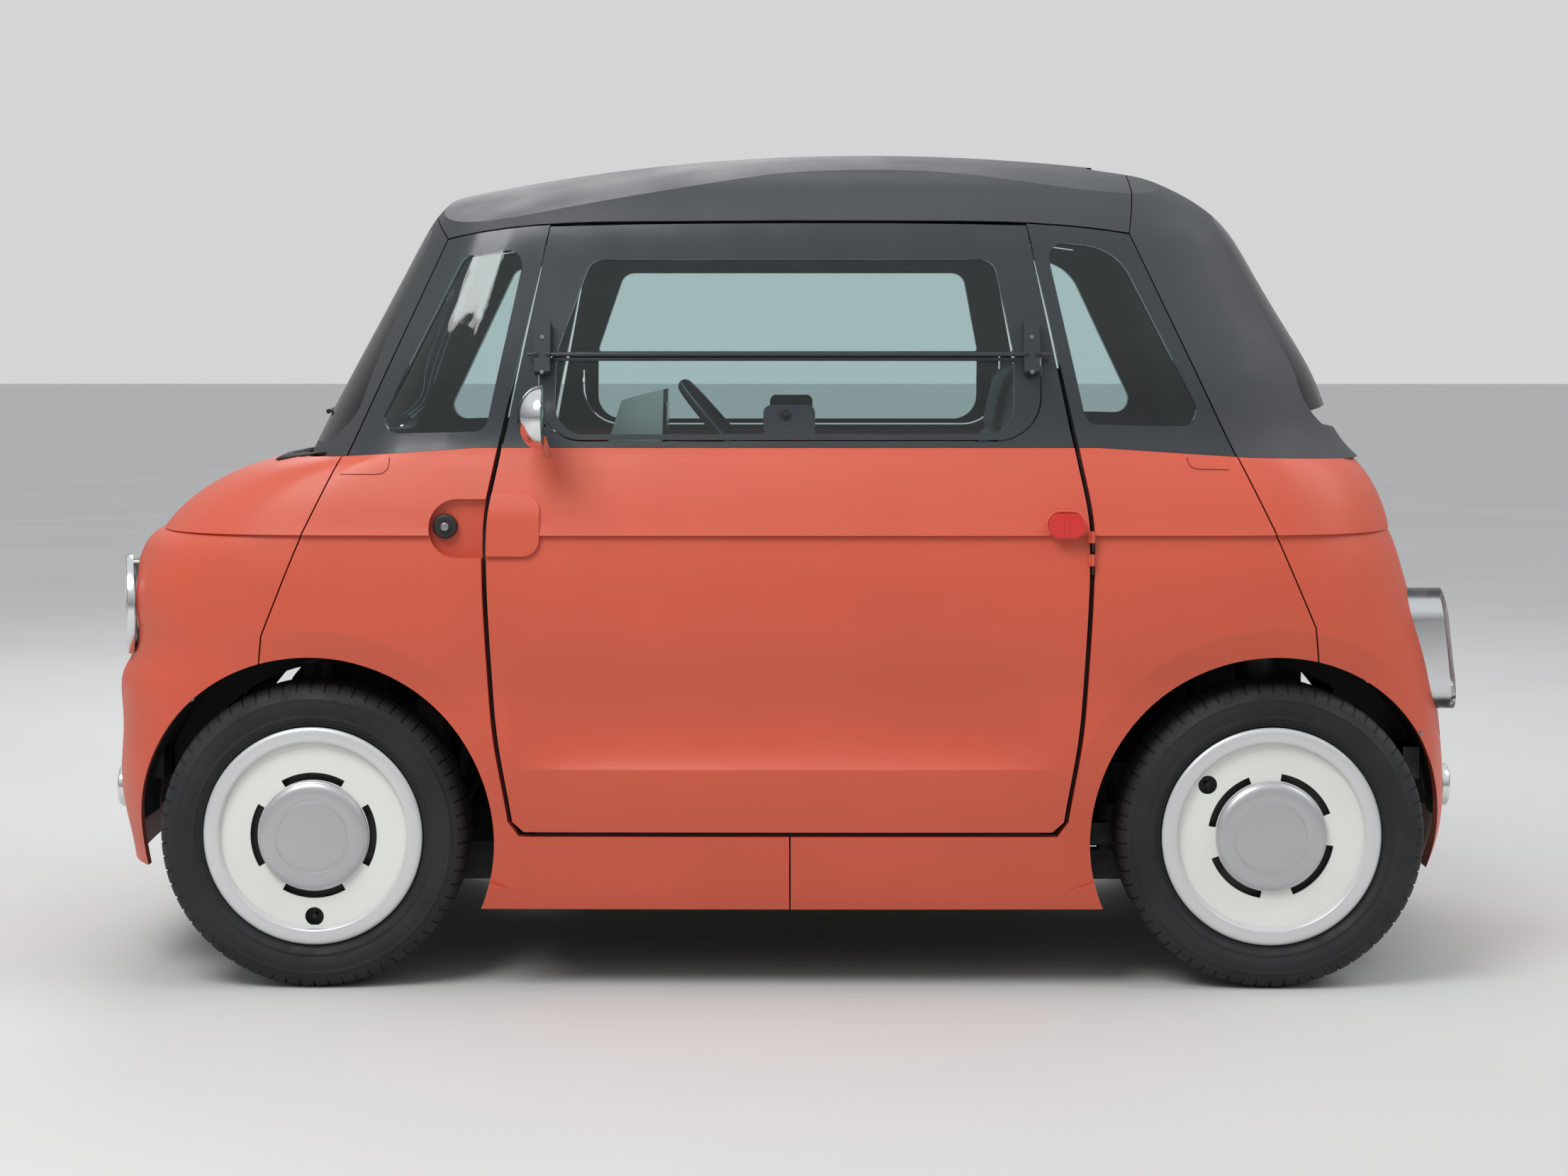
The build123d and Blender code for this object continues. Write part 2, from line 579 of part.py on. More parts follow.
def chassis():
    low = [box(-1120, 1130, 290, 340, 150, RAIL_TOP), box(-500, 470, 540, 590, 155, RAIL_TOP),
           box(-561.7, -553.7, 395, 465, 160, 290), box(-561.7, -470, 395, 465, 160, RAIL_TOP)]
    x = FRONT_AXLE_X
    legs = [box(x - 60, x + 60, 326, 340, 200, 700), box(x - 60, x + 60, 326, 500, 648, 660),
            box(x - 100, x - 60, 300, 340, 200, 900), box(REAR_AXLE_X - 200, REAR_AXLE_X - 160, 300, 340, 200, 627.7),
            box(-1140, -1120, 290, 340, 150, 420), box(1130, 1150, 290, 340, 150, 420)]
    pads = [box(x0 - 30, x0 + 30, 545, 585, JACK_PAD_Z, 160) for x0 in JACK_X]
    left = low[0]
    for piece in low[1:] + legs + pads:
        left = left + piece
    left = left - rod((x, 0, WHEEL_R), (x, 600, WHEEL_R), 26) - rod(king_point(600), king_point(700), 8.3)
    frame = left + left.mirror(Plane.XZ)
    for x0 in (-1120, 1080):
        frame = frame + box(x0, x0 + 50, -340, 340, 155, RAIL_TOP)
    for x0 in (-520, 430):
        frame = frame + (box(x0, x0 + 50, -700, 700, 155, RAIL_TOP) & lower_hull(SIDE_WALL + SEAT_GAP))
    frame = frame + box(820, 880, -300, 300, 160, 210 - SEAT_GAP)
    for sign in (1, -1):
        ends = sorted((sign * 1150, sign * 1180))
        frame = frame + box(*ends, -470, 470, 360, 420)
        ends = sorted((sign * 1170, sign * 1300))
        for y in (-230, 190):
            frame = frame + (box(*ends, y, y + 40, 370, 410) & lower_hull(FASCIA_WALL + SEAT_GAP, 10))
    return frame + box(x - 100, x - 60, -560, 560, 860, 900 - SEAT_GAP)


# ---------------------------------------------------------------- cabin
def tub():
    floor = box(-612, 700, -282, 282, 205, 225) + box(-530, 490, -600, 600, 205, 225)
    fire = box(700, 712, -282, 282, 205, 625) + box(700, 712, -600, 600, 625, 900)
    back = box(-612, -600, -345, 345, 205, 640)
    deck = box(-1060, -600, -545, 545, 628, 640)
    house = []
    for x, cut in ((FRONT_AXLE_X, box(490, 712, 345, 600, 205, 640)),
                   (REAR_AXLE_X, box(-760, -520, 345, 600, 205, 640))):
        house.append((arch(x, 352, 345, 600) - arch(x, 340, 345, 600)) & cut)
    inner_front = box(490, 700, 345, 357, 205, 640) - arch(FRONT_AXLE_X, 340, 340, 360)
    parts = floor + fire + back + deck
    for piece in house + [box(490, 712, 282, 357, 205, 225)]:
        parts = parts + piece + piece.mirror(Plane.XZ)
    return parts


STEER_AXIS = (-0.760, 0.0, 0.650)
STEER_CENTRE = (70.0, 300.0, 950.0)


def along(t):
    return tuple(c + t * a for c, a in zip(STEER_CENTRE, STEER_AXIS))


def steering_wheel():
    plane = Plane(origin=STEER_CENTRE, z_dir=STEER_AXIS)
    rim = Solid.make_torus(178, 13, plane)
    hub = rod(along(-66), along(8), 42) + rod(along(-130), along(0), 12)
    spoke = Solid.make_box(350, 34, 10).moved(Location((-175, -17, -6)))
    return rim + hub + plane.location * spoke


def dashboard():
    skin = [(300, 800), (300, 900), (340, 955), (699.7, 948), (699.7, 700), (640, 700), (640, 760), (340, 760)]
    top = prism(skin, -590, 590) - prism([(314, 774), (314, 896), (346, 941), (640, 934), (640, 774)], -578, 578)
    pod = prism([(226, 940), (222, 1080), (300, 1060), (335.7, 949.8), (305.7, 908.5)], 190, 410)
    column = rod(along(-72), along(-560), 30) - rod(along(-60), along(-132), 12.3)
    column = column + box(345, 365, 275, 325, 700, 760 - SEAT_GAP)
    return top, pod, column


def seats():
    frames, pads = [], []
    for y in (300, -300):
        frames.append(box(-440, -20, y - 205, y + 205, 430, 470 + 1 - SEAT_GAP) + box(-440, -400, y - 205, y + 205, 225 + SEAT_GAP, 431) + box(-60, -20, y - 205, y + 205, 225 + SEAT_GAP, 431))
        base = box(-430, -5, y - 215, y + 215, 471, 585)
        back = Solid.make_box(95, 430, 560).moved(Location((-430, y - 215, 578.4), (0, -12, 0)))
        pads += [base.fillet(35, base.edges()), back.fillet(35, back.edges())]
    return frames, pads


# ---------------------------------------------------------------- small parts
def stadium(cx, cz, w, h, x0, x1, y):
    face = rounded([(y - w / 2, cz - h / 2), (y + w / 2, cz - h / 2), (y + w / 2, cz + h / 2),
                    (y - w / 2, cz + h / 2)], [w / 2 - 0.5] * 4, "front")
    return extrude(face.moved(Location((x0, 0, 0))), amount=x1 - x0, dir=(1, 0, 0))


HEADLAMP = (1218.0, 430.0, 682.0)   # middle of the lens
HEADLAMP_R = 84.0
HEADLAMP_TOE = 12.7                 # degrees that it faces outward, with the skin
TAIL_LAMP = (430.0, 600.5, 120.0, 225.0)   # place across, height, width, length of the upright oval
TAIL_LENS = [(-1150, 400), (-1257, 400), (-1247, 488), (-1220, 713), (-1210, 800), (-1150, 800)]
MARKER_Y = 300.0
MARKER_Z = {1: 323.0, -1: 327.0}
MARKER_R = 32.5


def headlamp(grow=0.0):
    toe = math.radians(HEADLAMP_TOE)
    ahead = Vector(math.cos(toe), math.sin(toe), 0)
    face = Vector(*HEADLAMP)
    if grow:
        return rod(face - ahead * 80, face + ahead * 60, HEADLAMP_R + grow)
    lamp = rod(face - ahead * 60, face, HEADLAMP_R)
    return lamp.fillet(9, [max(lamp.edges(), key=lambda e: e.center().X)])


def tail_lamp(grow=0.0):
    y, z, w, h = TAIL_LAMP
    body = stadium(0, z, w + 2 * grow, h + 2 * grow, -1300, -1100, y)
    return body if grow else body & through(TAIL_LENS)


def marker_lamp(sign, grow=0.0):
    z, reach = MARKER_Z[sign], NOSE_X - 4.0
    inner, outer = sign * (reach - 48), sign * (reach + (40 if grow else 0))
    return rod((inner, MARKER_Y, z), (outer, MARKER_Y, z), MARKER_R + grow)


def resting(shape, *skins):
    """What is left of a piece outside the skins, lifted a seat's clearance off them."""
    for body in skins:
        shape = shape - body
    return largest(shape).moved(Location((0, SEAT_GAP, 0)))


def largest(shape):
    return max(shape.solids(), key=lambda s: s.volume)


def mirror_head(lower, upper):
    shell = scale(Solid.make_sphere(1.0), (46, 66, 58)).moved(Location((421, 728, 1035)))
    shell = shell & box(421, 500, 600, 900, 900, 1200)
    return resting(shell + rod((428, 700, 1020), (418, 632, 962), 7), lower, upper)


def hinge_rod(upper):
    pin = rod((-482, 616, 1146), (457, 616, 1146), 4)
    clips = [Solid.make_box(28, 44, 95).moved(Location((x - 14, 586, 1105), (14, 0, 0))) for x in (430, -447)]
    return resting(pin + clips[0] + clips[1], upper)


def reflector(x, lower):
    corners = [(x - 32, 822), (x + 32, 822), (x + 32, 865), (x - 32, 865)]
    return resting(side_cut(corners, [20] * 4, 0, 660, 706), lower)


def hinge_sleeves(sign):
    """The door's half of its hinges: short barrels on its edge, between the fixed leaves."""
    x = DOOR_X - sign * HINGE_X
    sleeves = []
    for z in HINGE_Z:
        barrel = rod((x, HINGE_Y, z + 15.3), (x, HINGE_Y, z + 36), 3.5)
        tail = box(*sorted((x, x + sign * 8)), HINGE_Y - 8, HINGE_Y - 2, z + 15.3, z + 36)
        sleeves.append(barrel + tail - rod((x, HINGE_Y, z), (x, HINGE_Y, z + 120), PIN_R + 0.3))
    return sleeves


def build():
    lower, upper = lower_hull(0), upper_hull(0)
    side_shell = lower - lower_hull(SIDE_WALL)
    fascia_shell = lower - lower_hull(FASCIA_WALL, 0.7 * FASCIA_WALL)
    upper_shell, skin = upper - upper_hull(UPPER_WALL), upper - upper_hull(GLASS_T)

    bevels = [arch_bevel(lower, FRONT_AXLE_X, 73, 194), arch_bevel(lower, REAR_AXLE_X, -14, 158)]
    front, rear = side_panels(side_shell)
    front, rear = front - bevels[0], rear - bevels[1]
    save("side_panel_front_left", front - handle_recess())
    save("side_panel_rear_left", rear)
    save("side_panel_front_right", front.mirror(Plane.XZ))
    save("side_panel_rear_right", (rear - end_for_end(handle_recess())).mirror(Plane.XZ))
    save("lock_buttons", lock_button(), end_for_end(lock_button()).mirror(Plane.XZ))

    nose, tail = fascias(fascia_shell)
    tail = tail - bevels[1] - bevels[1].mirror(Plane.XZ)
    for hole in (headlamp(0.3), marker_lamp(1, 0.3)):
        nose = nose - hole - hole.mirror(Plane.XZ)
    for hole in (tail_lamp(0.3), marker_lamp(-1, 0.3)):
        tail = tail - hole - hole.mirror(Plane.XZ)
    save("front_fascia", nose)
    save("rear_fascia", tail)
    save("headlamps", both(headlamp()))
    save("tail_lamps", both(tail_lamp()))
    save("marker_lamps", both(marker_lamp(1)), both(marker_lamp(-1)))

    up = upper_pieces(upper_shell, skin, upper - upper_hull(12))
    for name in ("windscreen_frame", "windscreen", "rear_shell", "rear_window", "roof_panel",
                 "quarter_frames", "quarter_windows"):
        save(name, up[name])

    door = (side_shell & below_belt(0) & door_block(-DOOR_GAP / 2)) - door_scoop(lower)
    pad = door_pad()
    flap = [up["flap"], hinge_rod(upper)]
    glass = up["door_glass"]
    mirror_part = mirror_head(lower, upper)
    for side in ("left", "right"):
        flip = (lambda *s: list(s)) if side == "left" else (lambda *s: [p.mirror(Plane.XZ) for p in s])
        sign = 1 if side == "left" else -1
        panel = door + (pad if side == "left" else end_for_end(pad))
        for sleeve in hinge_sleeves(sign):
            panel = panel + sleeve
        save("door_panel_" + side, flip(panel))
        save("door_frame_" + side, flip(up["door_frame"]))
        save("door_glass_" + side, flip(*glass))
        save("window_flap_" + side, flip(*flap))
        save("mirror_" + side, flip(mirror_part))
        save("door_reflector_" + side, flip(reflector(DOOR_X - sign * 494.5, lower)))

    for name, x, side, turn in (("front_left", FRONT_AXLE_X, 1, -90), ("front_right", FRONT_AXLE_X, -1, 20),
                                ("rear_left", REAR_AXLE_X, 1, 39), ("rear_right", REAR_AXLE_X, -1, 150)):
        for part, shape in zip(("tyre_", "rim_", "wheel_cover_"), wheel(side, turn)):
            save(part + name, shape.moved(Location((x, side * WHEEL_Y, WHEEL_R))))

    left = knuckle()
    save("knuckle_left", left)
    save("knuckle_right", left.mirror(Plane.XZ))
    save("front_suspension", both(front_suspension()))
    save("rear_suspension", rear_suspension())
    save("chassis_frame", chassis())
    save("safety_frame", *safety_frame())
    save("battery_pack", box(-390, -70, -500, 500, 225 + SEAT_GAP, 420))
    motor = box(720, 980, -200, 200, 210, 420)
    shaft = rod((FRONT_AXLE_X, -474, WHEEL_R), (FRONT_AXLE_X, 474, WHEEL_R), 14)
    save("drive_unit", motor + shaft)
    save("floor_pan", tub())
    save("steering_wheel", steering_wheel())
    top, pod, column = dashboard()
    save("dashboard", top)
    save("instrument_pod", pod)
    save("steering_column", column)
    frames, pads = seats()
    save("seat_frames", frames)
    save("seat_cushions", pads)


build()
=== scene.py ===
import json
import math

import bmesh
import bpy
from mathutils import Matrix, Vector
from mathutils.bvhtree import BVHTree


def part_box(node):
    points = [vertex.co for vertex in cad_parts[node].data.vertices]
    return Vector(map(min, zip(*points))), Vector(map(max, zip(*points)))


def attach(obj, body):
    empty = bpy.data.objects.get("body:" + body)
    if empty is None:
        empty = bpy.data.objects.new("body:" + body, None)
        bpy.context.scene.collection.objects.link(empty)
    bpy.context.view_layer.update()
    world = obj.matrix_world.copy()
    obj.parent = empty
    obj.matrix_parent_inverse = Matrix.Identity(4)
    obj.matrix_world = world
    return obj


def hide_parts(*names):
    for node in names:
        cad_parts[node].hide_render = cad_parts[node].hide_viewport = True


bl_info = {
    "name": "Two-seat microcar dressing",
    "version": (1, 0, 0),
    "blender": (4, 5, 0),
    "location": "View3D > Sidebar > Microcar",
    "description": "Finishes, soft goods and small hardware round the packed two-seat microcar",
    "category": "Object",
}

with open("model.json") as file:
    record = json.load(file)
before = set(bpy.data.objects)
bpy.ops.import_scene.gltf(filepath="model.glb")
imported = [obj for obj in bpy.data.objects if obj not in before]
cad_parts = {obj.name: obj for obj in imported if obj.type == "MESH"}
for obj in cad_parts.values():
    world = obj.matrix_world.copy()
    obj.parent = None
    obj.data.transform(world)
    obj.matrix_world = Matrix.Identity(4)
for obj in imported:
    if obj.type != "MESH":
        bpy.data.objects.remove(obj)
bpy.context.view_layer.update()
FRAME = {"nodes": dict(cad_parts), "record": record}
NODES = FRAME["nodes"]
CORNERS = ("front_left", "front_right", "rear_left", "rear_right")
SIDES = ("left", "right")
FLANKS = ((1, "left"), (-1, "right"))
OUTSIDE_Y = 0.95  # beyond every panel, where rays at a flank start


def middle(node):
    """The middle of a node's box."""
    low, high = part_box(node)
    return (low + high) / 2


# ---------------------------------------------------------------- sizes and colours
def colour_setting(label, note, default):
    """A colour for the panel in the sidebar."""
    return bpy.props.FloatVectorProperty(
        name=label, description=note, default=default, size=3, min=0, max=1, subtype="COLOR")


class FinishSettings(bpy.types.PropertyGroup):
    """Colours of the moulded panels and trim."""

    coral: colour_setting(
        "Lower body", "Colour of the moulded lower body", (0.62, 0.094, 0.047))
    roof: colour_setting(
        "Upper body", "Colour of the roof and the rear shell", (0.040, 0.045, 0.050))
    border: colour_setting(
        "Window borders", "Colour of the flush surrounds of the side windows", (0.032, 0.039, 0.047))
    glass: colour_setting(
        "Glass tint", "Colour that one face of the side glass lets through", (0.86, 0.93, 0.93))
    cover: colour_setting(
        "Wheel covers", "Colour of the wheel covers' pale disc", (0.80, 0.81, 0.76))


class TyreSettings(bpy.types.PropertyGroup):
    """Sizes of the tyres' tread."""

    pitches: bpy.props.IntProperty(
        name="Tread pitches", description="Number of tread blocks round each tyre",
        default=66, min=20, max=90)
    groove_depth: bpy.props.FloatProperty(
        name="Groove depth", description="Depth of the tread's grooves", default=0.006, min=0.002, max=0.008,
        subtype="DISTANCE", unit="LENGTH")
    groove_width: bpy.props.FloatProperty(
        name="Groove width", description="Width of the three grooves round the tread", default=0.008,
        min=0.003, max=0.012, subtype="DISTANCE", unit="LENGTH")


class StageSettings(bpy.types.PropertyGroup):
    """Camera, floor and light."""

    camera_place: bpy.props.FloatVectorProperty(
        name="Camera", description="Place of the camera on the car's left side",
        default=(-0.033, 6.24, 1.161), size=3, subtype="TRANSLATION", unit="LENGTH")
    camera_pitch: bpy.props.FloatProperty(
        name="Pitch", description="Angle of the camera below the horizon",
        default=math.radians(4.42), subtype="ANGLE", unit="ROTATION")
    camera_turn: bpy.props.FloatProperty(
        name="Turn", description="Angle of the camera towards the nose",
        default=math.radians(0.304), subtype="ANGLE", unit="ROTATION")
    lens: bpy.props.FloatProperty(
        name="Lens", description="Focal length on a 36 mm sensor",
        default=71.9, min=20, max=200, unit="CAMERA")
    floor_colour: colour_setting(
        "Floor", "Colour of the floor and the backdrop", (0.60, 0.60, 0.59))


def settings(kind):
    """The scene's values of one settings group."""
    return getattr(bpy.context.scene, "microcar_" + kind)


# ---------------------------------------------------------------- materials
class Finish:
    """A material under construction: its node tree, its shader and short ways to add to both."""

    def __init__(self, name, colour=(0.5, 0.5, 0.5), rough=0.5, metal=0.0, **more):
        self.material = bpy.data.materials.new(name)
        self.material.use_nodes = True
        self.tree = self.material.node_tree
        self.tree.nodes.clear()
        self.out = self.node("OutputMaterial")
        self.shader = self.node("BsdfPrincipled")
        self.join(self.shader, "BSDF", self.out, "Surface")
        self.set("Base Color", (*colour[:3], 1))
        self.set("Roughness", rough)
        self.set("Metallic", metal)
        for key, value in more.items():
            self.set(key.replace("_", " ").title().replace("Ior", "IOR"), value)
        self.colour = colour

    def node(self, kind, **values):
        made = self.tree.nodes.new("ShaderNode" + kind)
        for key, value in values.items():
            setattr(made, key, value)
        return made

    def join(self, source, output, target, entry):
        self.tree.links.new(source.outputs[output], target.inputs[entry])

    def set(self, socket, value):
        self.shader.inputs[socket].default_value = value

    def noise(self, scale, detail):
        """A cloudy texture's values, which crowd round a half."""
        place = self.node("TexCoord")
        cloud = self.node("TexNoise")
        cloud.inputs["Scale"].default_value = scale
        cloud.inputs["Detail"].default_value = detail
        self.join(place, "Object", cloud, "Vector")
        return cloud.outputs["Fac"]

    def spread(self, factor, low=0.0, high=1.0):
        """Stretch the crowded middle of a texture's values over low to high."""
        made = self.node("MapRange")
        for entry, value in (("From Min", 0.3), ("From Max", 0.7), ("To Min", low), ("To Max", high)):
            made.inputs[entry].default_value = value
        self.tree.links.new(factor, made.inputs["Value"])
        return made

    def vary(self, socket, low, high, factor):
        """Run a shader value between low and high with a texture."""
        self.join(self.spread(factor, low, high), "Result", self.shader, socket)

    def tint(self, factor, shade, light):
        """Let the colour wander a little darker and lighter with a texture."""
        mix = self.node("Mix", data_type="RGBA")
        self.join(self.spread(factor), "Result", mix, "Factor")
        mix.inputs[6].default_value = (*[min(c * shade, 1) for c in self.colour[:3]], 1)
        mix.inputs[7].default_value = (*[min(c * light, 1) for c in self.colour[:3]], 1)
        self.tree.links.new(mix.outputs[2], self.shader.inputs["Base Color"])

    def bump(self, factor, depth, strength):
        """Raise and sink the surface by shading alone."""
        bump = self.node("Bump")
        bump.inputs["Distance"].default_value = depth
        bump.inputs["Strength"].default_value = strength
        self.tree.links.new(factor, bump.inputs["Height"])
        self.join(bump, "Normal", self.shader, "Normal")


def moulded(name, colour, rough, grain=900.0, depth=0.00012, coat=0.0):
    """Plastic moulded in its colour, with a fine grain and slow changes of gloss."""
    f = Finish(name, colour, rough)
    f.set("Coat Weight", coat)
    f.set("Coat Roughness", 0.25)
    f.tint(f.noise(3.0, 2), 0.95, 1.03)
    f.vary("Roughness", rough - 0.05, rough + 0.07, f.noise(7.0, 4))
    f.bump(f.noise(grain, 2), depth, 0.35)
    return f.material


def window(name, tint):
    """Glass that tints what is behind it and mirrors what is before it."""
    f = Finish(name, tint)
    clear = f.node("BsdfTransparent")
    clear.inputs["Color"].default_value = (*tint, 1)
    gloss = f.node("BsdfGlossy")
    gloss.inputs["Roughness"].default_value = 0.02
    gloss.inputs["Color"].default_value = (1, 1, 1, 1)
    fresnel = f.node("Fresnel")
    fresnel.inputs["IOR"].default_value = 1.45
    mix = f.node("MixShader")
    f.join(fresnel, "Fac", mix, "Fac")
    f.tree.links.new(clear.outputs[0], mix.inputs[1])
    f.tree.links.new(gloss.outputs[0], mix.inputs[2])
    f.tree.nodes.remove(f.shader)
    f.tree.links.new(mix.outputs[0], f.out.inputs["Surface"])
    return f.material


def painted_steel(name, colour, rough=0.42, metal=0.0):
    """Painted, cast or bare metal with a slightly uneven face."""
    f = Finish(name, colour, rough, metal)
    f.tint(f.noise(14.0, 4), 0.8, 1.15)
    f.vary("Roughness", rough - 0.08, rough + 0.15, f.noise(45.0, 4))
    f.bump(f.noise(260.0, 3), 0.0002, 0.4)
    return f.material


def silver(name, colour, rough, metal):
    """Silver lacquer with fine flakes."""
    f = Finish(name, colour, rough, metal)
    f.set("Coat Weight", 0.4)
    f.set("Coat Roughness", 0.12)
    f.tint(f.noise(5.0, 2), 0.96, 1.03)
    f.bump(f.noise(1500.0, 1), 0.00008, 0.3)
    return f.material


def rubber(name, colour=(0.016, 0.016, 0.017), rough=0.62):
    """Dull black rubber."""
    f = Finish(name, colour, rough)
    f.set("Specular IOR Level", 0.35)
    f.tint(f.noise(6.0, 4), 0.75, 1.5)
    f.vary("Roughness", rough - 0.1, rough + 0.12, f.noise(30.0, 3))
    f.bump(f.noise(700.0, 2), 0.00015, 0.4)
    return f.material


def polished(name, colour=(0.80, 0.81, 0.82), rough=0.08):
    """Bright plated metal."""
    f = Finish(name, colour, rough, 1.0)
    f.vary("Roughness", rough, rough + 0.08, f.noise(40.0, 4))
    return f.material


def woven(name, colour, rough=0.85, threads=420.0):
    """Seat cloth: two crossed sets of threads."""
    f = Finish(name, colour, rough)
    f.set("Sheen Weight", 0.25)
    place = f.node("TexCoord")
    heights = []
    for turn in (0.0, math.pi / 2):
        mapping = f.node("Mapping")
        mapping.inputs["Rotation"].default_value = (turn, turn, 0.0)
        wave = f.node("TexWave", wave_profile="SIN", bands_direction="X" if turn == 0 else "Y")
        wave.inputs["Scale"].default_value = threads
        f.join(place, "Object", mapping, "Vector")
        f.join(mapping, "Vector", wave, "Vector")
        heights.append(wave.outputs["Fac"])
    cross = f.node("Math", operation="MULTIPLY")
    for entry, height in zip(cross.inputs, heights):
        f.tree.links.new(height, entry)
    f.bump(cross.outputs[0], 0.0006, 0.5)
    f.tint(f.noise(9.0, 3), 0.85, 1.15)
    return f.material


def reflex(name, colour):
    """A prismatic reflector behind a clear face."""
    f = Finish(name, colour, 0.12)
    f.set("Coat Weight", 1.0)
    f.set("Coat Roughness", 0.03)
    place = f.node("TexCoord")
    cells = f.node("TexVoronoi", feature="F1", distance="CHEBYCHEV")
    cells.inputs["Scale"].default_value = 320.0
    cells.inputs["Randomness"].default_value = 0.0
    f.join(place, "Object", cells, "Vector")
    f.bump(cells.outputs["Distance"], 0.0015, 0.8)
    return f.material


RECIPES = {  # a recipe and its values; a colour by name is one of the settings
    "coral_moulding": (moulded, "coral", 0.44, 900.0, 0.00012, 0.05),
    "roof_moulding": (moulded, "roof", 0.58, 700.0, 0.0002),
    "border_moulding": (moulded, "border", 0.24, 500.0, 0.00004),
    "side_glass": (window, "glass"),
    "rear_glass": (window, (0.30, 0.33, 0.34)),
    "lamp_lens": (window, (0.97, 0.97, 0.97)),
    "tub_plastic": (moulded, (0.022, 0.022, 0.024), 0.62, 400.0, 0.0003),
    "frame_paint": (painted_steel, (0.016, 0.016, 0.018)),
    "battery_case": (painted_steel, (0.32, 0.33, 0.34), 0.38, 0.9),
    "cast_alloy": (painted_steel, (0.42, 0.42, 0.41), 0.5, 0.85),
    "dash_moulding": (moulded, (0.060, 0.064, 0.070), 0.66, 350.0, 0.0004),
    "pod_moulding": (moulded, (0.66, 0.72, 0.70), 0.55, 500.0, 0.0002),
    "seat_cloth": (woven, (0.040, 0.044, 0.050)),
    "rim_leather": (moulded, (0.018, 0.018, 0.020), 0.5, 240.0, 0.0005),
    "knuckle_iron": (painted_steel, (0.035, 0.033, 0.031), 0.6, 0.4),
    "tyre_rubber": (rubber,),
    "seal_rubber": (rubber, (0.009, 0.009, 0.010), 0.55),
    "rim_paint": (painted_steel, (0.035, 0.035, 0.037), 0.45),
    "cover_disc": (moulded, "cover", 0.34, 600.0, 0.00004),
    "cover_silver": (silver, (0.50, 0.51, 0.52), 0.36, 0.6),
    "mirror_shell": (polished,),
    "mirror_face": (polished, (0.88, 0.90, 0.91), 0.01),
    "reflector_red": (reflex, (0.72, 0.012, 0.010)),
    "reflector_amber": (reflex, (0.80, 0.22, 0.01)),
    "bolt_steel": (painted_steel, (0.35, 0.35, 0.36), 0.36, 0.9),
    "lamp_bowl": (polished, (0.78, 0.79, 0.80), 0.12),
    "seam_shadow": (rubber, (0.16, 0.018, 0.010), 0.7),
    "seam_thread": (woven, (0.30, 0.31, 0.32)),
    "carpet": (woven, (0.020, 0.020, 0.022), 0.95, 260.0),
    "screen_glass": (moulded, (0.010, 0.012, 0.015), 0.08, 200.0, 0.00001, 1.0),
    "lamp_white": (moulded, (0.80, 0.82, 0.83), 0.3, 300.0, 0.00005, 0.3),
    "lamp_glass": (moulded, (0.10, 0.11, 0.12), 0.08, 200.0, 0.00001, 1.0),
    "lamp_red": (reflex, (0.55, 0.010, 0.010)),
    "cover_ring": (silver, (0.66, 0.67, 0.67), 0.32, 0.3),
}
MADE = {}


def finish(name):
    """The material of that name, made when it is first asked for."""
    if name not in MADE:
        recipe, *values = RECIPES[name]
        if values and isinstance(values[0], str):
            values[0] = tuple(getattr(settings("finish"), values[0]))
        MADE[name] = recipe(name, *values)
    return MADE[name]


CAD_FINISHES = {
    "coral": "coral_moulding", "roof_grey": "roof_moulding", "border_grey": "border_moulding",
    "clear_glass": "side_glass", "dark_glass": "rear_glass", "lamp_lens": "lamp_lens",
    "tub_black": "tub_plastic", "frame_black": "frame_paint", "battery_case": "battery_case",
    "cast_alloy": "cast_alloy", "dash_grey": "dash_moulding", "pod_cream": "pod_moulding",
    "seat_fabric": "seat_cloth", "wheel_black": "rim_leather", "knuckle_iron": "knuckle_iron",
    "tyre": "tyre_rubber", "rim_steel": "rim_paint", "cover_cream": "cover_disc",
    "chrome_trim": "mirror_shell", "red_lens": "reflector_red", "amber_lens": "reflector_amber",
}


# ---------------------------------------------------------------- mesh helpers
def placed(name, mesh):
    """A mesh as an object in the scene."""
    made = bpy.data.objects.new(name, mesh)
    bpy.context.scene.collection.objects.link(made)
    return made


def from_work(name, work):
    """An object from a mesh under work, which is used up."""
    mesh = bpy.data.meshes.new(name)
    work.to_mesh(mesh)
    work.free()
    return placed(name, mesh)


def bare(name, vertices, edges=(), faces=()):
    """An object of these points, edges and faces as they are."""
    mesh = bpy.data.meshes.new(name)
    mesh.from_pydata([tuple(v) for v in vertices], list(edges), list(faces))
    return placed(name, mesh)


def mesh_object(name, vertices, faces, material):
    """An object of these points and faces, cleaned and given its material."""
    made = bare(name, vertices, (), faces)
    tidy(made)
    made.data.materials.append(finish(material))
    return made


def smoothed(made):
    """Smooth shading on every face."""
    for face in made.data.polygons:
        face.use_smooth = True


def ring_faces(rings, steps, closed=False):
    """Faces from ring to ring of points, with both ends capped or the last ring joined to the first."""
    faces = []
    for k in range(rings if closed else rings - 1):
        n = (k + 1) % rings
        for i in range(steps):
            j = (i + 1) % steps
            faces.append((k * steps + i, k * steps + j, n * steps + j, n * steps + i))
    if not closed:
        faces += [tuple(range(steps)), tuple((rings - 1) * steps + i for i in range(steps))]
    return faces


def tidy(made, merge=1e-6):
    """Join doubled points, turn the faces outwards and shade them."""
    work = bmesh.new()
    work.from_mesh(made.data)
    bmesh.ops.remove_doubles(work, verts=work.verts, dist=merge)
    bmesh.ops.recalc_face_normals(work, faces=work.faces)
    work.to_mesh(made.data)
    work.free()
    smoothed(made)


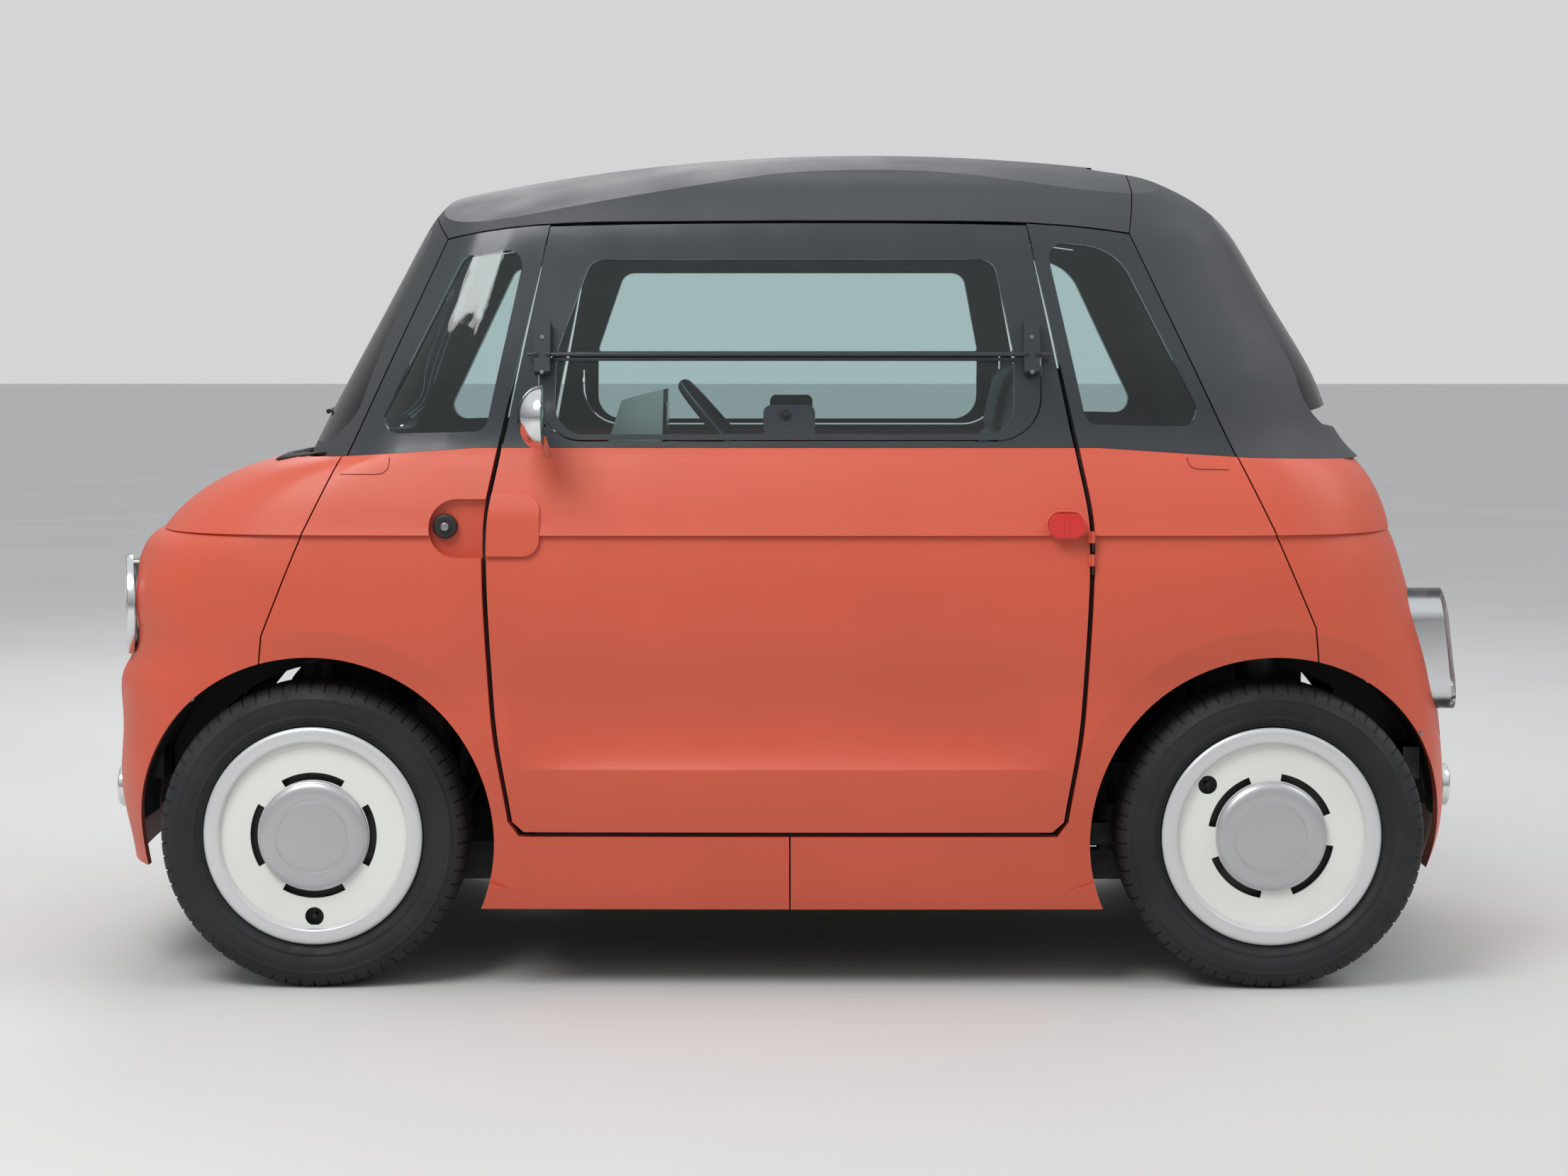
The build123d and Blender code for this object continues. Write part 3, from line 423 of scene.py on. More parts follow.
def crisp(made, degrees=30.0):
    """Smooth shading with the edges over an angle kept sharp."""
    made.data.set_sharp_from_angle(angle=math.radians(degrees))
    return made


def applied(made):
    """Replace an object's mesh by what its modifiers give, and drop them."""
    graph = bpy.context.evaluated_depsgraph_get()
    result = bpy.data.meshes.new_from_object(made.evaluated_get(graph), depsgraph=graph)
    made.modifiers.clear()
    made.data = result
    return made


# ---------------------------------------------------------------- geometry-node trees
class Tree:
    """A geometry-node tree under construction, with its sizes as named inputs."""

    def __init__(self, name, **sizes):
        self.tree = bpy.data.node_groups.new(name, "GeometryNodeTree")
        self.tree.interface.new_socket("Geometry", in_out="OUTPUT", socket_type="NodeSocketGeometry")
        self.tree.interface.new_socket("Base", in_out="INPUT", socket_type="NodeSocketGeometry")
        for label, kind in {**sizes, "Material": "Material"}.items():
            self.tree.interface.new_socket(label, in_out="INPUT", socket_type="NodeSocket" + kind)
        self.entry = self.add("NodeGroupInput")

    def add(self, kind, **values):
        node = self.tree.nodes.new(kind)
        for key, value in values.items():
            setattr(node, key, value)
        return node

    def join(self, source, output, target, entry):
        self.tree.links.new(source.outputs[output], target.inputs[entry])

    def wire(self, *links):
        for link in links:
            self.join(*link)

    def end(self, source, output):
        """Close the tree with real geometry in one material."""
        real = self.add("GeometryNodeRealizeInstances")
        paint = self.add("GeometryNodeSetMaterial")
        out = self.add("NodeGroupOutput")
        self.wire((source, output, real, "Geometry"), (real, "Geometry", paint, "Geometry"),
                  (self.entry, "Material", paint, "Material"), (paint, "Geometry", out, "Geometry"))
        return self.tree


def ring_tree():
    """Repeats one sector round the Y axis."""
    t = Tree("sector_ring", Pitches="Int")
    points = t.add("GeometryNodePoints")
    index = t.add("GeometryNodeInputIndex")
    share = t.add("ShaderNodeMath", operation="DIVIDE")
    turn = t.add("ShaderNodeMath", operation="MULTIPLY")
    turn.inputs[1].default_value = math.tau
    rotation = t.add("ShaderNodeCombineXYZ")
    copies = t.add("GeometryNodeInstanceOnPoints")
    t.wire(
        (t.entry, "Pitches", points, "Count"),
        (index, 0, share, 0),
        (t.entry, "Pitches", share, 1),
        (share, 0, turn, 0),
        (turn, 0, rotation, "Y"),
        (points, 0, copies, "Points"),
        (t.entry, "Base", copies, "Instance"),
        (rotation, 0, copies, "Rotation"),
    )
    return t.end(copies, 0)


def bead_tree():
    """Sweeps a round bead along the edges of its base."""
    t = Tree("bead", Radius="Float", Sides="Int")
    path = t.add("GeometryNodeMeshToCurve")
    ring = t.add("GeometryNodeCurvePrimitiveCircle")
    sweep = t.add("GeometryNodeCurveToMesh")
    sweep.inputs["Fill Caps"].default_value = True
    t.wire(
        (t.entry, "Base", path, 0),
        (t.entry, "Radius", ring, "Radius"),
        (t.entry, "Sides", ring, "Resolution"),
        (path, 0, sweep, "Curve"),
        (ring, 0, sweep, "Profile Curve"),
    )
    return t.end(sweep, 0)


def bolt_tree():
    """Sets a head on every point of its base, along the direction stored there."""
    t = Tree("bolt_heads", Radius="Float", Height="Float", Sides="Int")
    head = t.add("GeometryNodeMeshCone", fill_type="NGON")
    slim = t.add("ShaderNodeMath", operation="MULTIPLY")
    slim.inputs[1].default_value = 0.82
    facing = t.add("GeometryNodeInputNamedAttribute", data_type="FLOAT_VECTOR")
    facing.inputs["Name"].default_value = "facing"
    align = t.add("FunctionNodeAlignRotationToVector", axis="Z")
    copies = t.add("GeometryNodeInstanceOnPoints")
    t.wire(
        (t.entry, "Sides", head, "Vertices"),
        (t.entry, "Radius", head, "Radius Bottom"),
        (t.entry, "Radius", slim, 0),
        (slim, 0, head, "Radius Top"),
        (t.entry, "Height", head, "Depth"),
        (facing, 0, align, "Vector"),
        (t.entry, "Base", copies, "Points"),
        (head, "Mesh", copies, "Instance"),
        (align, 0, copies, "Rotation"),
    )
    return t.end(copies, 0)


TREES = {}


def tree(kind):
    """The geometry-node tree of that kind, made when it is first asked for."""
    if kind not in TREES:
        TREES[kind] = {"ring": ring_tree, "bead": bead_tree, "bolts": bolt_tree}[kind]()
    return TREES[kind]


def grown(base, kind, sizes, material):
    """Run a tree on an object with these sizes and keep the plain mesh that it gives."""
    group = tree(kind)
    modifier = base.modifiers.new(kind, "NODES")
    modifier.node_group = group
    values = {**sizes, "Material": finish(material)}
    for item in group.interface.items_tree:
        if item.item_type == "SOCKET" and item.in_out == "INPUT" and item.name in values:
            modifier[item.identifier] = values[item.name]
    return applied(base)


def beads(name, paths, radius, material, body, closed=False, sides=10):
    """Round strips along paths of points."""
    vertices, edges = [], []
    for path in paths:
        start = len(vertices)
        vertices += path
        edges += [(start + i, start + i + 1) for i in range(len(path) - 1)]
        if closed:
            edges.append((len(vertices) - 1, start))
    made = grown(bare(name, vertices, edges), "bead", {"Radius": radius, "Sides": sides}, material)
    tidy(made)
    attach(crisp(made, 50), body)
    return made


def bolts(name, places, radius, height, material, body, sides=6):
    """Bolt or screw heads: each place is a point and the direction that the head faces."""
    made = bare(name, [point for point, _ in places])
    store = made.data.attributes.new("facing", "FLOAT_VECTOR", "POINT")
    for item, (_, way) in zip(store.data, places):
        item.vector = way
    grown(made, "bolts", {"Radius": radius, "Height": height, "Sides": sides}, material)
    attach(crisp(made, 30), body)
    return made


def turned(name, profile, place, axis, material, steps=64, body=None):
    """Spin a closed profile of (radius, height) in millimetres about an axis through a place."""
    turn = Vector(axis).to_track_quat("Z", "Y").to_matrix()
    vertices, faces, count = [], [], len(profile)
    for i in range(steps):
        a = math.tau * i / steps
        for r, h in profile:
            point = Vector((r * math.cos(a), r * math.sin(a), h)) / 1000
            vertices.append(Vector(place) + turn @ point)
    for i in range(steps):
        here, there = i * count, (i + 1) % steps * count
        for k in range(count):
            n = (k + 1) % count
            faces.append((here + k, here + n, there + n, there + k))
    made = mesh_object(name, vertices, faces, material)
    crisp(made, 38)
    if body:
        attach(made, body)
    return made


def joined(name, parts):
    """One object from several, which are used up."""
    work = bmesh.new()
    materials = []
    for part in parts:
        before = len(work.faces)
        work.from_mesh(part.data)
        work.faces.ensure_lookup_table()
        for face in work.faces[before:]:
            material = part.data.materials[face.material_index]
            if material not in materials:
                materials.append(material)
            face.material_index = materials.index(material)
        old = part.data
        bpy.data.objects.remove(part)
        bpy.data.meshes.remove(old)
    made = from_work(name, work)
    for material in materials:
        made.data.materials.append(material)
    return made


def block(low, high, material, name="block", bevel=0.0, turn=None):
    """A box from corner to corner in metres with rounded edges."""
    work = bmesh.new()
    bmesh.ops.create_cube(work, size=1.0)
    low, high = Vector(low), Vector(high)
    span = high - low
    for v in work.verts:
        v.co = Vector((v.co.x * span.x, v.co.y * span.y, v.co.z * span.z))
    if bevel:
        bmesh.ops.bevel(work, geom=work.edges[:], offset=bevel, segments=3, profile=0.5,
                        affect="EDGES")
    if turn is not None:
        bmesh.ops.transform(work, matrix=turn.to_4x4(), verts=work.verts)
    bmesh.ops.translate(work, vec=(low + high) / 2, verts=work.verts)
    made = from_work(name, work)
    made.data.materials.append(finish(material))
    smoothed(made)
    return crisp(made, 35)


SURFACES = {}


def surface(*nodes):
    """A search tree over some CAD nodes, for laying pieces on them."""
    if nodes not in SURFACES:
        vertices, faces = [], []
        for node in nodes:
            start = len(vertices)
            mesh = NODES[node].data
            vertices += [v.co.copy() for v in mesh.vertices]
            faces += [[start + i for i in p.vertices] for p in mesh.polygons]
        SURFACES[nodes] = BVHTree.FromPolygons(vertices, faces)
    return SURFACES[nodes]


def laid(points, nodes, way, lift=0.0):
    """Points dropped along a direction on to CAD nodes, raised by lift off them."""
    found = []
    search = surface(*nodes)
    way = Vector(way).normalized()
    for point in points:
        hit, normal, _, _ = search.ray_cast(Vector(point) - way, way, 3.0)
        if hit is not None:
            if normal.dot(way) > 0:
                normal = -normal
            found.append(hit + normal * lift)
    return found


def skin_y(side, x, z, nodes, inside, lift):
    """The Y of a flank's skin at a place, met from outside or from inside the car."""
    start = (x, 0 if inside else side * OUTSIDE_Y, z)
    found = laid([start], nodes, (0, side if inside else -side, 0), lift)
    return found[0].y if found else None


# ---------------------------------------------------------------- pieces
class MICROCAR_OT_finishes(bpy.types.Operator):
    """Give every construction node the finish of its material slot"""

    bl_idname = "microcar.finishes"
    bl_label = "Finish the panels"

    def execute(self, context):
        for part in FRAME["record"]["subparts"]:
            node = NODES[part["node"]]
            node.data.materials.clear()
            node.data.materials.append(finish(CAD_FINISHES[part["material_slot"]]))
        return {"FINISHED"}


# ---------------------------------------------------------------- wheels
def wheel_middle(corner):
    """The centre of a corner's wheel."""
    return middle("tyre_" + corner)


def spoke(degrees):
    """The direction at an angle from the front, in the wheel's plane."""
    a = math.radians(degrees)
    return Vector((math.cos(a), 0, math.sin(a)))


def outboard(corner):
    """Which way along Y is outwards at a corner."""
    return 1 if corner.endswith("left") else -1


SIDEWALL = [  # radius, offset and share of the sipes' depth, in millimetres, from the bead to the tread
    (190, 58, 0), (194, 59, 0), (198.5, 60.6, 0), (201, 63.2, 0), (203, 62.8, 0), (208, 66.4, 0),
    (213.5, 70.4, 0), (215, 72.4, 0), (218, 72.8, 0), (220, 72.2, 0), (229, 75.8, 0), (238, 77.4, 0),
    (245, 76.6, 0), (247, 77.4, 0), (250, 77.2, 0), (251.5, 75.6, 0), (258, 73, 0), (262, 71, 0),
    (264.5, 69.4, 1), (268, 66.6, 1), (271.5, 63.2, 1), (274.2, 59, 1),
    (276.2, 54, 1), (277.2, 50, 1), (277.6, 45, 0.8)]
TYRE_INSIDE = [(190, 46), (203, 46), (216, 59), (240, 65), (262, 52), (266, 0)]
TREAD_R = 278.4
GROOVE_PLACES = (30.0, 0.0, -30.0)
SIPE_DEPTH = 2.6


def tyre_profile(width, depth):
    """Outside of the tyre from bead to bead, then its inside back again."""
    half = [Vector((r, y, share)) for r, y, share in SIDEWALL]
    tread = []
    for place in GROOVE_PLACES:
        for step, drop, share in ((width / 2, 0, 0.6), (width / 2 - 1, depth, 0), (1 - width / 2, depth, 0),
                                  (-width / 2, 0, 0.6)):
            tread.append(Vector((TREAD_R - (place / 50) ** 2 - drop, place + step, share)))
    back = [Vector((v.x, -v.y, v.z)) for v in half[::-1]]
    inside = [Vector((r, -y, 0)) for r, y in TYRE_INSIDE]
    inside += [Vector((r, y, 0)) for r, y in TYRE_INSIDE[-2::-1]]
    return half + tread + back + inside


def tyre_sector(name, tyre):
    """One pitch of the tread, with a sipe across it."""
    profile = tyre_profile(tyre.groove_width * 1000, tyre.groove_depth * 1000)
    count, sweep = len(profile), math.tau / tyre.pitches
    columns = [(0, 0), (0.41, 0), (0.45, 1), (0.55, 1), (0.59, 0), (1, 0)]
    vertices, faces = [], []
    for share, cut in columns:
        a = share * sweep
        for i, p in enumerate(profile):
            run = profile[(i + 1) % count] - profile[i - 1]
            inward = Vector((-run.y, run.x)).normalized() * -SIPE_DEPTH * p.z * cut
            if inward.x > 0:
                inward = -inward
            r, y = (p.x + inward.x) / 1000, (p.y + inward.y) / 1000
            vertices.append((r * math.cos(a), y, -r * math.sin(a)))
    for c in range(len(columns) - 1):
        for i in range(count):
            n = (i + 1) % count
            faces.append((c * count + i, c * count + n, (c + 1) * count + n, (c + 1) * count + i))
    return bare(name, vertices, (), faces)


class MICROCAR_OT_tyres(bpy.types.Operator):
    """Cut the tread into the four tyres"""

    bl_idname = "microcar.tyres"
    bl_label = "Tyres"

    def execute(self, context):
        tyre = settings("tyre")
        for corner in CORNERS:
            made = tyre_sector("tread_" + corner, tyre)
            grown(made, "ring", {"Pitches": tyre.pitches}, "tyre_rubber")
            made.data.transform(Matrix.Translation(wheel_middle(corner)))
            tidy(made, merge=2e-5)
            crisp(made, 28)
            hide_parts("tyre_" + corner)
            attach(made, "wheel_" + corner)
        return {"FINISHED"}


# closed profiles of (radius, height outwards from the wheel's centre) in millimetres
COVER_CAP = [(0, 74.0), (59, 74.0), (62, 73.7), (63.5, 72.9), (66, 72.9), (67.5, 73.7), (70, 74.0),
             (80, 73.8), (88, 72.9), (93, 71.0), (97, 68.0), (99.4, 64.5), (99.8, 60.0), (99.8, 58.3),
             (99.3, 58.3), (99.3, 66.2), (88.2, 72.3), (0, 72.3)]
COVER_RING = [(167.4, 58.4), (168.6, 62), (170.0, 67), (171.6, 69.6), (174, 70.5), (183, 70.9),
              (190, 70.5), (194.5, 69.4), (197.4, 66.8), (198, 65.7), (197.3, 65.7), (194, 69.3),
              (171, 69.3), (168.0, 58.4)]
VALVE_TURN = {"front_left": -90, "front_right": 20, "rear_left": 39, "rear_right": 150}
VALVE_REACH = 0.148
VALVE = [(0, 20), (7, 20), (7, 26), (4.2, 30), (3.4, 44), (4.2, 46), (4.2, 55), (3, 56), (0, 56)]
LUG_REACH = 0.049
LUG_INSET = 0.021


class MICROCAR_OT_covers(bpy.types.Operator):
    """Cap and rim ring of the wheel covers, tyre valves and wheel bolts"""

    bl_idname = "microcar.covers"
    bl_label = "Wheel covers"

    def execute(self, context):
        for corner in CORNERS:
            side, place = outboard(corner), wheel_middle(corner)
            way, body = (0, side, 0), "wheel_" + corner
            turned("cover_cap_" + corner, COVER_CAP, place, way, "cover_silver", 96, body)
            turned("cover_ring_" + corner, COVER_RING, place, way, "cover_ring", 128, body)
            spot = place + spoke(VALVE_TURN[corner]) * VALVE_REACH
            turned("valve_" + corner, VALVE, spot, way, "seal_rubber", 16, body)
            hub = place - Vector((0, side * LUG_INSET, 0))
            spots = [hub + spoke(90 * k + 45) * LUG_REACH for k in range(4)]
            bolts("wheel_bolts_" + corner, [(p, Vector((0, -side, 0))) for p in spots], 0.0095, 0.012,
                  "bolt_steel", body)
        return {"FINISHED"}


# ---------------------------------------------------------------- wheel arches
ARCH_Z = 0.276
LINER_R = 0.3335
LINER_WALL = 0.003
LINER_SWEEP = (2, 178)  # degrees from the front, round the arch
LINER_DEEP_Y = 0.362  # inner edge, and beside the strut
LINER_INNER_Y = 0.498
LINER_OUTER_Y = 0.660
PANEL_R = 0.345  # where the inside of the panel round the arch is felt for
PANEL_GAP = 0.006
INNER_WALL_Y = 0.3625
FIXINGS = (48, 70, 96, 122, 146)  # degrees from the front
FIXING_Y = 0.600


def arch_liner(name, axle_x, side):
    """A ribbed black liner under a wheel arch."""
    vertices, faces = [], []
    steps, columns = 72, 16
    ahead = axle_x > 0
    skins = ("front_fascia" if ahead else "rear_fascia",) + tuple(
        "side_panel_%s_%s" % ("front" if ahead else "rear", label) for label in SIDES)
    strut = (76, 104) if ahead else (80, 100)
    for skin in (0.0, LINER_WALL):
        for i in range(steps + 1):
            degrees = LINER_SWEEP[0] + (LINER_SWEEP[1] - LINER_SWEEP[0]) * i / steps
            a = math.radians(degrees)
            panel = skin_y(side, axle_x + PANEL_R * math.cos(a), ARCH_Z + PANEL_R * math.sin(a),
                           skins, True, 0.0)
            reach = min(LINER_OUTER_Y, abs(panel or FIXING_Y) - PANEL_GAP)
            inner = LINER_INNER_Y if strut[0] < degrees < strut[1] else LINER_DEEP_Y
            for k in range(columns + 1):
                y = inner + (max(reach, inner + 0.02) - inner) * k / columns
                r = LINER_R + skin + (0.0012 if k % 3 == 1 else 0)
                vertices.append((axle_x + r * math.cos(a), side * y, ARCH_Z + r * math.sin(a)))
    row, layer = columns + 1, (columns + 1) * (steps + 1)
    for i in range(steps):
        for k in range(columns):
            a, b, c, d = i * row + k, i * row + k + 1, (i + 1) * row + k + 1, (i + 1) * row + k
            faces += [(a, b, c, d), (layer + d, layer + c, layer + b, layer + a)]
        for k in (0, columns):
            a, d = i * row + k, (i + 1) * row + k
            faces.append((a, d, layer + d, layer + a))
    for i in (0, steps):
        for k in range(columns):
            a, b = i * row + k, i * row + k + 1
            faces.append((a, b, layer + b, layer + a))
    made = mesh_object(name, vertices, faces, "tub_plastic")
    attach(crisp(made, 40), "body")


class MICROCAR_OT_liners(bpy.types.Operator):
    """Liners of the wheel arches with their fixings"""

    bl_idname = "microcar.liners"
    bl_label = "Arch liners"

    def execute(self, context):
        places = []
        for corner in CORNERS:
            side, axle = outboard(corner), wheel_middle(corner).x
            arch_liner("arch_liner_" + corner, axle, side)
            for degrees in FIXINGS:
                out = spoke(degrees)
                centre = Vector((axle, side * FIXING_Y, ARCH_Z))
                places.append((centre + out * (LINER_R - 0.0008), -out))
            self.inner_wall(corner, axle, side)
        bolts("liner_bolts", places, 0.006, 0.004, "bolt_steel", "body")
        return {"FINISHED"}

    def inner_wall(self, corner, axle, side):
        """The liner's inner wall over the wheel, clear of the suspension."""
        rows = []
        for i in range(37):
            a = math.radians(4 + 172 * i / 36)
            rows.append([Vector((axle + r * math.cos(a), side * INNER_WALL_Y, ARCH_Z + r * math.sin(a)))
                         for r in (0.332, 0.310, 0.288)])
        sheet_of("arch_wall_" + corner, rows, LINER_WALL, "tub_plastic", "body")


# ---------------------------------------------------------------- lamps
HEADLAMP_PLACE = (1.218, 0.430, 0.682)
HEADLAMP_TOE = math.radians(12.7)
LAMP_BOWL = [(0, -57), (82, -57), (82.5, -12), (81, -10), (79, -12), (72, -28), (56, -42), (38, -50),
             (0, -52)]
LAMP_PROJECTOR = [(0, -16), (14, -17), (24, -21), (29, -27), (31, -34), (31, -52), (0, -52)]
LAMP_HALO = [(60, -16), (66, -12), (72, -12), (75, -16), (72, -20), (64, -20)]
LAMP_BEZEL = [(84.6, -8), (84.6, 2.5), (86, 5.0), (89, 5.4), (92, 3.4), (93.5, -2), (93.5, -8)]
TAIL_PLACE = (430.0, 600.5)  # Y and Z in millimetres
TAIL_RISE = 112.5  # half of the height over which the lamp slopes
MARKER_Y = 0.300
MARKER_Z = {"front": 0.323, "rear": 0.327}


def oval(name, across, loops, material, steps=72, closed=False):
    """Upright ovals (width, length, x at foot, x at head) in millimetres, joined one to the next."""
    vertices = []
    y0, z0 = across * TAIL_PLACE[0], TAIL_PLACE[1]
    low, high = z0 - TAIL_RISE, z0 + TAIL_RISE
    for w, h, foot, head in loops:
        for i in range(steps):
            a = math.tau * (i + 0.5) / steps
            y, z = math.cos(a) * w / 2, math.sin(a) * w / 2
            z += math.copysign((h - w) / 2, z)
            x = foot + (head - foot) * (z0 + z - low) / (high - low)
            vertices.append(Vector((x, y0 + y, z0 + z)) / 1000)
    return crisp(mesh_object(name, vertices, ring_faces(len(loops), steps, closed), material), 35)


class MICROCAR_OT_lamps(bpy.types.Operator):
    """Bowls, halos and bezels behind the lamp lenses"""

    bl_idname = "microcar.lamps"
    bl_label = "Lamps"

    def execute(self, context):
        for side, label in FLANKS:
            self.headlamp(side, label)
            self.tail_lamp(side, label)
            self.markers(side, label)
        return {"FINISHED"}

    def headlamp(self, side, label):
        x, y, z = HEADLAMP_PLACE
        place = (x, side * y, z)
        ahead = (math.cos(HEADLAMP_TOE), side * math.sin(HEADLAMP_TOE), 0)
        parts = [turned("bowl", LAMP_BOWL, place, ahead, "lamp_bowl", 96),
                 turned("halo", LAMP_HALO, place, ahead, "lamp_white", 96),
                 turned("projector", LAMP_PROJECTOR, place, ahead, "lamp_glass", 48),
                 turned("bezel", LAMP_BEZEL, place, ahead, "lamp_bowl", 128)]
        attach(joined("headlamp_inside_" + label, parts), "body")

    def tail_lamp(self, side, label):
        collar = [(119.4, 224.4, -1152, -1152), (119.4, 224.4, -1238, -1212), (116, 221, -1238, -1212),
                  (112, 217, -1214, -1190), (112, 217, -1152, -1152)]
        plate = [(113, 218, -1196, -1176), (113, 218, -1204, -1184), (96, 200, -1208, -1188)]
        core = [(76, 178, -1200, -1180), (76, 178, -1222, -1200), (70, 172, -1228, -1206),
                (62, 164, -1230, -1208)]
        halo = [(98, 200, -1206, -1186), (98, 200, -1226, -1204), (95, 197, -1229, -1207),
                (88, 190, -1229, -1207), (85, 187, -1226, -1204), (85, 187, -1206, -1186)]
        parts = [oval("collar", side, collar, "lamp_bowl", closed=True),
                 oval("plate", side, plate, "lamp_bowl"),
                 oval("core", side, core, "lamp_red"), oval("halo", side, halo, "lamp_white", closed=True)]
        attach(joined("tail_lamp_inside_" + label, parts), "body")

    def markers(self, side, label):
        bowl = [(0, -44), (31.5, -44), (31.5, -4), (30, -3), (28, -6), (20, -22), (10, -28), (0, -29)]
        bulb = [(0, -12), (5, -13), (7, -17), (6, -24), (0, -27)]
        bezel = [(33, -10), (33, 2), (34.5, 4), (37, 4.2), (39.5, 2), (40.5, -4), (40.5, -10)]
        for way, end in ((1, "front"), (-1, "rear")):
            low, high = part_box("marker_lamps")
            place = (high.x if way > 0 else low.x, side * MARKER_Y, MARKER_Z[end])
            parts = [turned("bowl", bowl, place, (way, 0, 0), "lamp_bowl", 48),
                     turned("bulb", bulb, place, (way, 0, 0), "lamp_white", 24),
                     turned("bezel", bezel, place, (way, 0, 0), "lamp_bowl", 64)]
            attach(joined("marker_inside_%s_%s" % (end, label), parts), "body")


# ---------------------------------------------------------------- mirrors, handles and reflectors
MIRROR_PLACE = (0.421, 0.728, 1.035)
MIRROR_REACH = (0.066, 0.058)  # half width and half height of the head


class MICROCAR_OT_mirrors(bpy.types.Operator):
    """Glass of the door mirrors"""

    bl_idname = "microcar.mirrors"
    bl_label = "Mirrors"

    def execute(self, context):
        x, y, z = MIRROR_PLACE
        wide, tall = MIRROR_REACH
        for side, label in FLANKS:
            vertices, steps = [], 48
            for share, back in ((0.93, 0.0006), (0.93, -0.0008), (0.90, -0.0014)):
                for i in range(steps):
                    a = math.tau * i / steps
                    vertices.append((x + back, side * (y + wide * share * math.cos(a)),
                                     z + tall * share * math.sin(a)))
            made = mesh_object("mirror_glass_" + label, vertices, ring_faces(3, steps), "mirror_face")
            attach(crisp(made, 30), "door_" + label)
        return {"FINISHED"}


LOCK_PLACE = (0.601, 0.840)
LOCK_BARREL = [(0, 1.6), (6, 1.6), (7, 1.0), (7.4, 0), (7.4, -3), (0, -3)]
DOOR_X = -0.0105
DOOR_OUTSIDE_Y = 0.9  # beyond the doors' windows, where rays at them start
KNOB_PLACE = (-0.006, 1.038)
KNOB = [(0, 7), (4, 7), (5, 6), (5, 3), (9.5, 3), (10.5, 2), (10.5, -4), (0, -4)]
ROD_Z = 1.146
ROD_Y = 0.616
CLIP_X = (0.430, -0.447)
CLIP_SCREWS = (-0.031, 0.031)  # above and below the rod
CLIP_BARRELS = (-0.011, 0.011)


class MICROCAR_OT_handles(bpy.types.Operator):
    """Lock barrels, flap knobs and flap hinges"""

    bl_idname = "microcar.handles"
    bl_label = "Locks and hinges"

    def execute(self, context):
        for side, label in FLANKS:
            way = Vector((0, side, 0))
            x = LOCK_PLACE[0] if side > 0 else 2 * DOOR_X - LOCK_PLACE[0]
            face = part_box("lock_buttons")[1 if side > 0 else 0].y
            turned("lock_barrel_" + label, LOCK_BARREL, (x, face, LOCK_PLACE[1]), way, "bolt_steel",
                   32, "body")
            body, flap = "door_" + label, ("window_flap_" + label,)
            knob = laid([(KNOB_PLACE[0], side * DOOR_OUTSIDE_Y, KNOB_PLACE[1])], flap, -way)
            turned("flap_knob_" + label, KNOB, knob[0], way, "rim_leather", 32, body)
            places, barrels = [], []
            for clip in CLIP_X:
                for rise in CLIP_SCREWS:
                    point = laid([(clip, side * DOOR_OUTSIDE_Y, ROD_Z + rise)], flap, -way)[0]
                    places.append((point, way))
                for shift in CLIP_BARRELS:
                    start = Vector((clip + shift - 0.004, side * ROD_Y, ROD_Z))
                    barrels.append([start, start + Vector((0.008, 0, 0))])
            bolts("hinge_screws_" + label, places, 0.0045, 0.003, "bolt_steel", body, 12)
            beads("hinge_barrels_" + label, barrels, 0.0085, "rim_leather", body, sides=20)
        return {"FINISHED"}


# ---------------------------------------------------------------- trim and seams
def sheet_of(name, rows, thickness, material, body):
    """A closed panel from rows of points, thickened along its own normals."""
    across = len(rows[0])
    work = bmesh.new()
    grid = [[work.verts.new(p) for p in row] for row in rows]
    for a, b in zip(grid, grid[1:]):
        for k in range(across - 1):
            work.faces.new((a[k], a[k + 1], b[k + 1], b[k]))
    bmesh.ops.recalc_face_normals(work, faces=work.faces)
    made = from_work(name, work)
    wall = made.modifiers.new("wall", "SOLIDIFY")
    wall.thickness, wall.offset = thickness, 0.0
    applied(made)
    tidy(made)
    made.data.materials.append(finish(material))
    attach(crisp(made, 40), body)
    return made


COVER_LINES = {  # X and Z of the seams round the four corner covers
    "front": [(0.790, 0.932), (0.760, 0.932), (0.728, 0.932), (0.714, 0.934), (0.7055, 0.941),
              (0.703, 0.952), (0.7028, 0.962)],
    "rear": [(-0.797, 0.9405), (-0.765, 0.941), (-0.742, 0.9415), (-0.731, 0.945), (-0.7255, 0.953),
             (-0.7235, 0.962)],
}
CLEAR = 1.6  # beyond the nose and above the roof, where rays start
COWL_HALF = 0.52


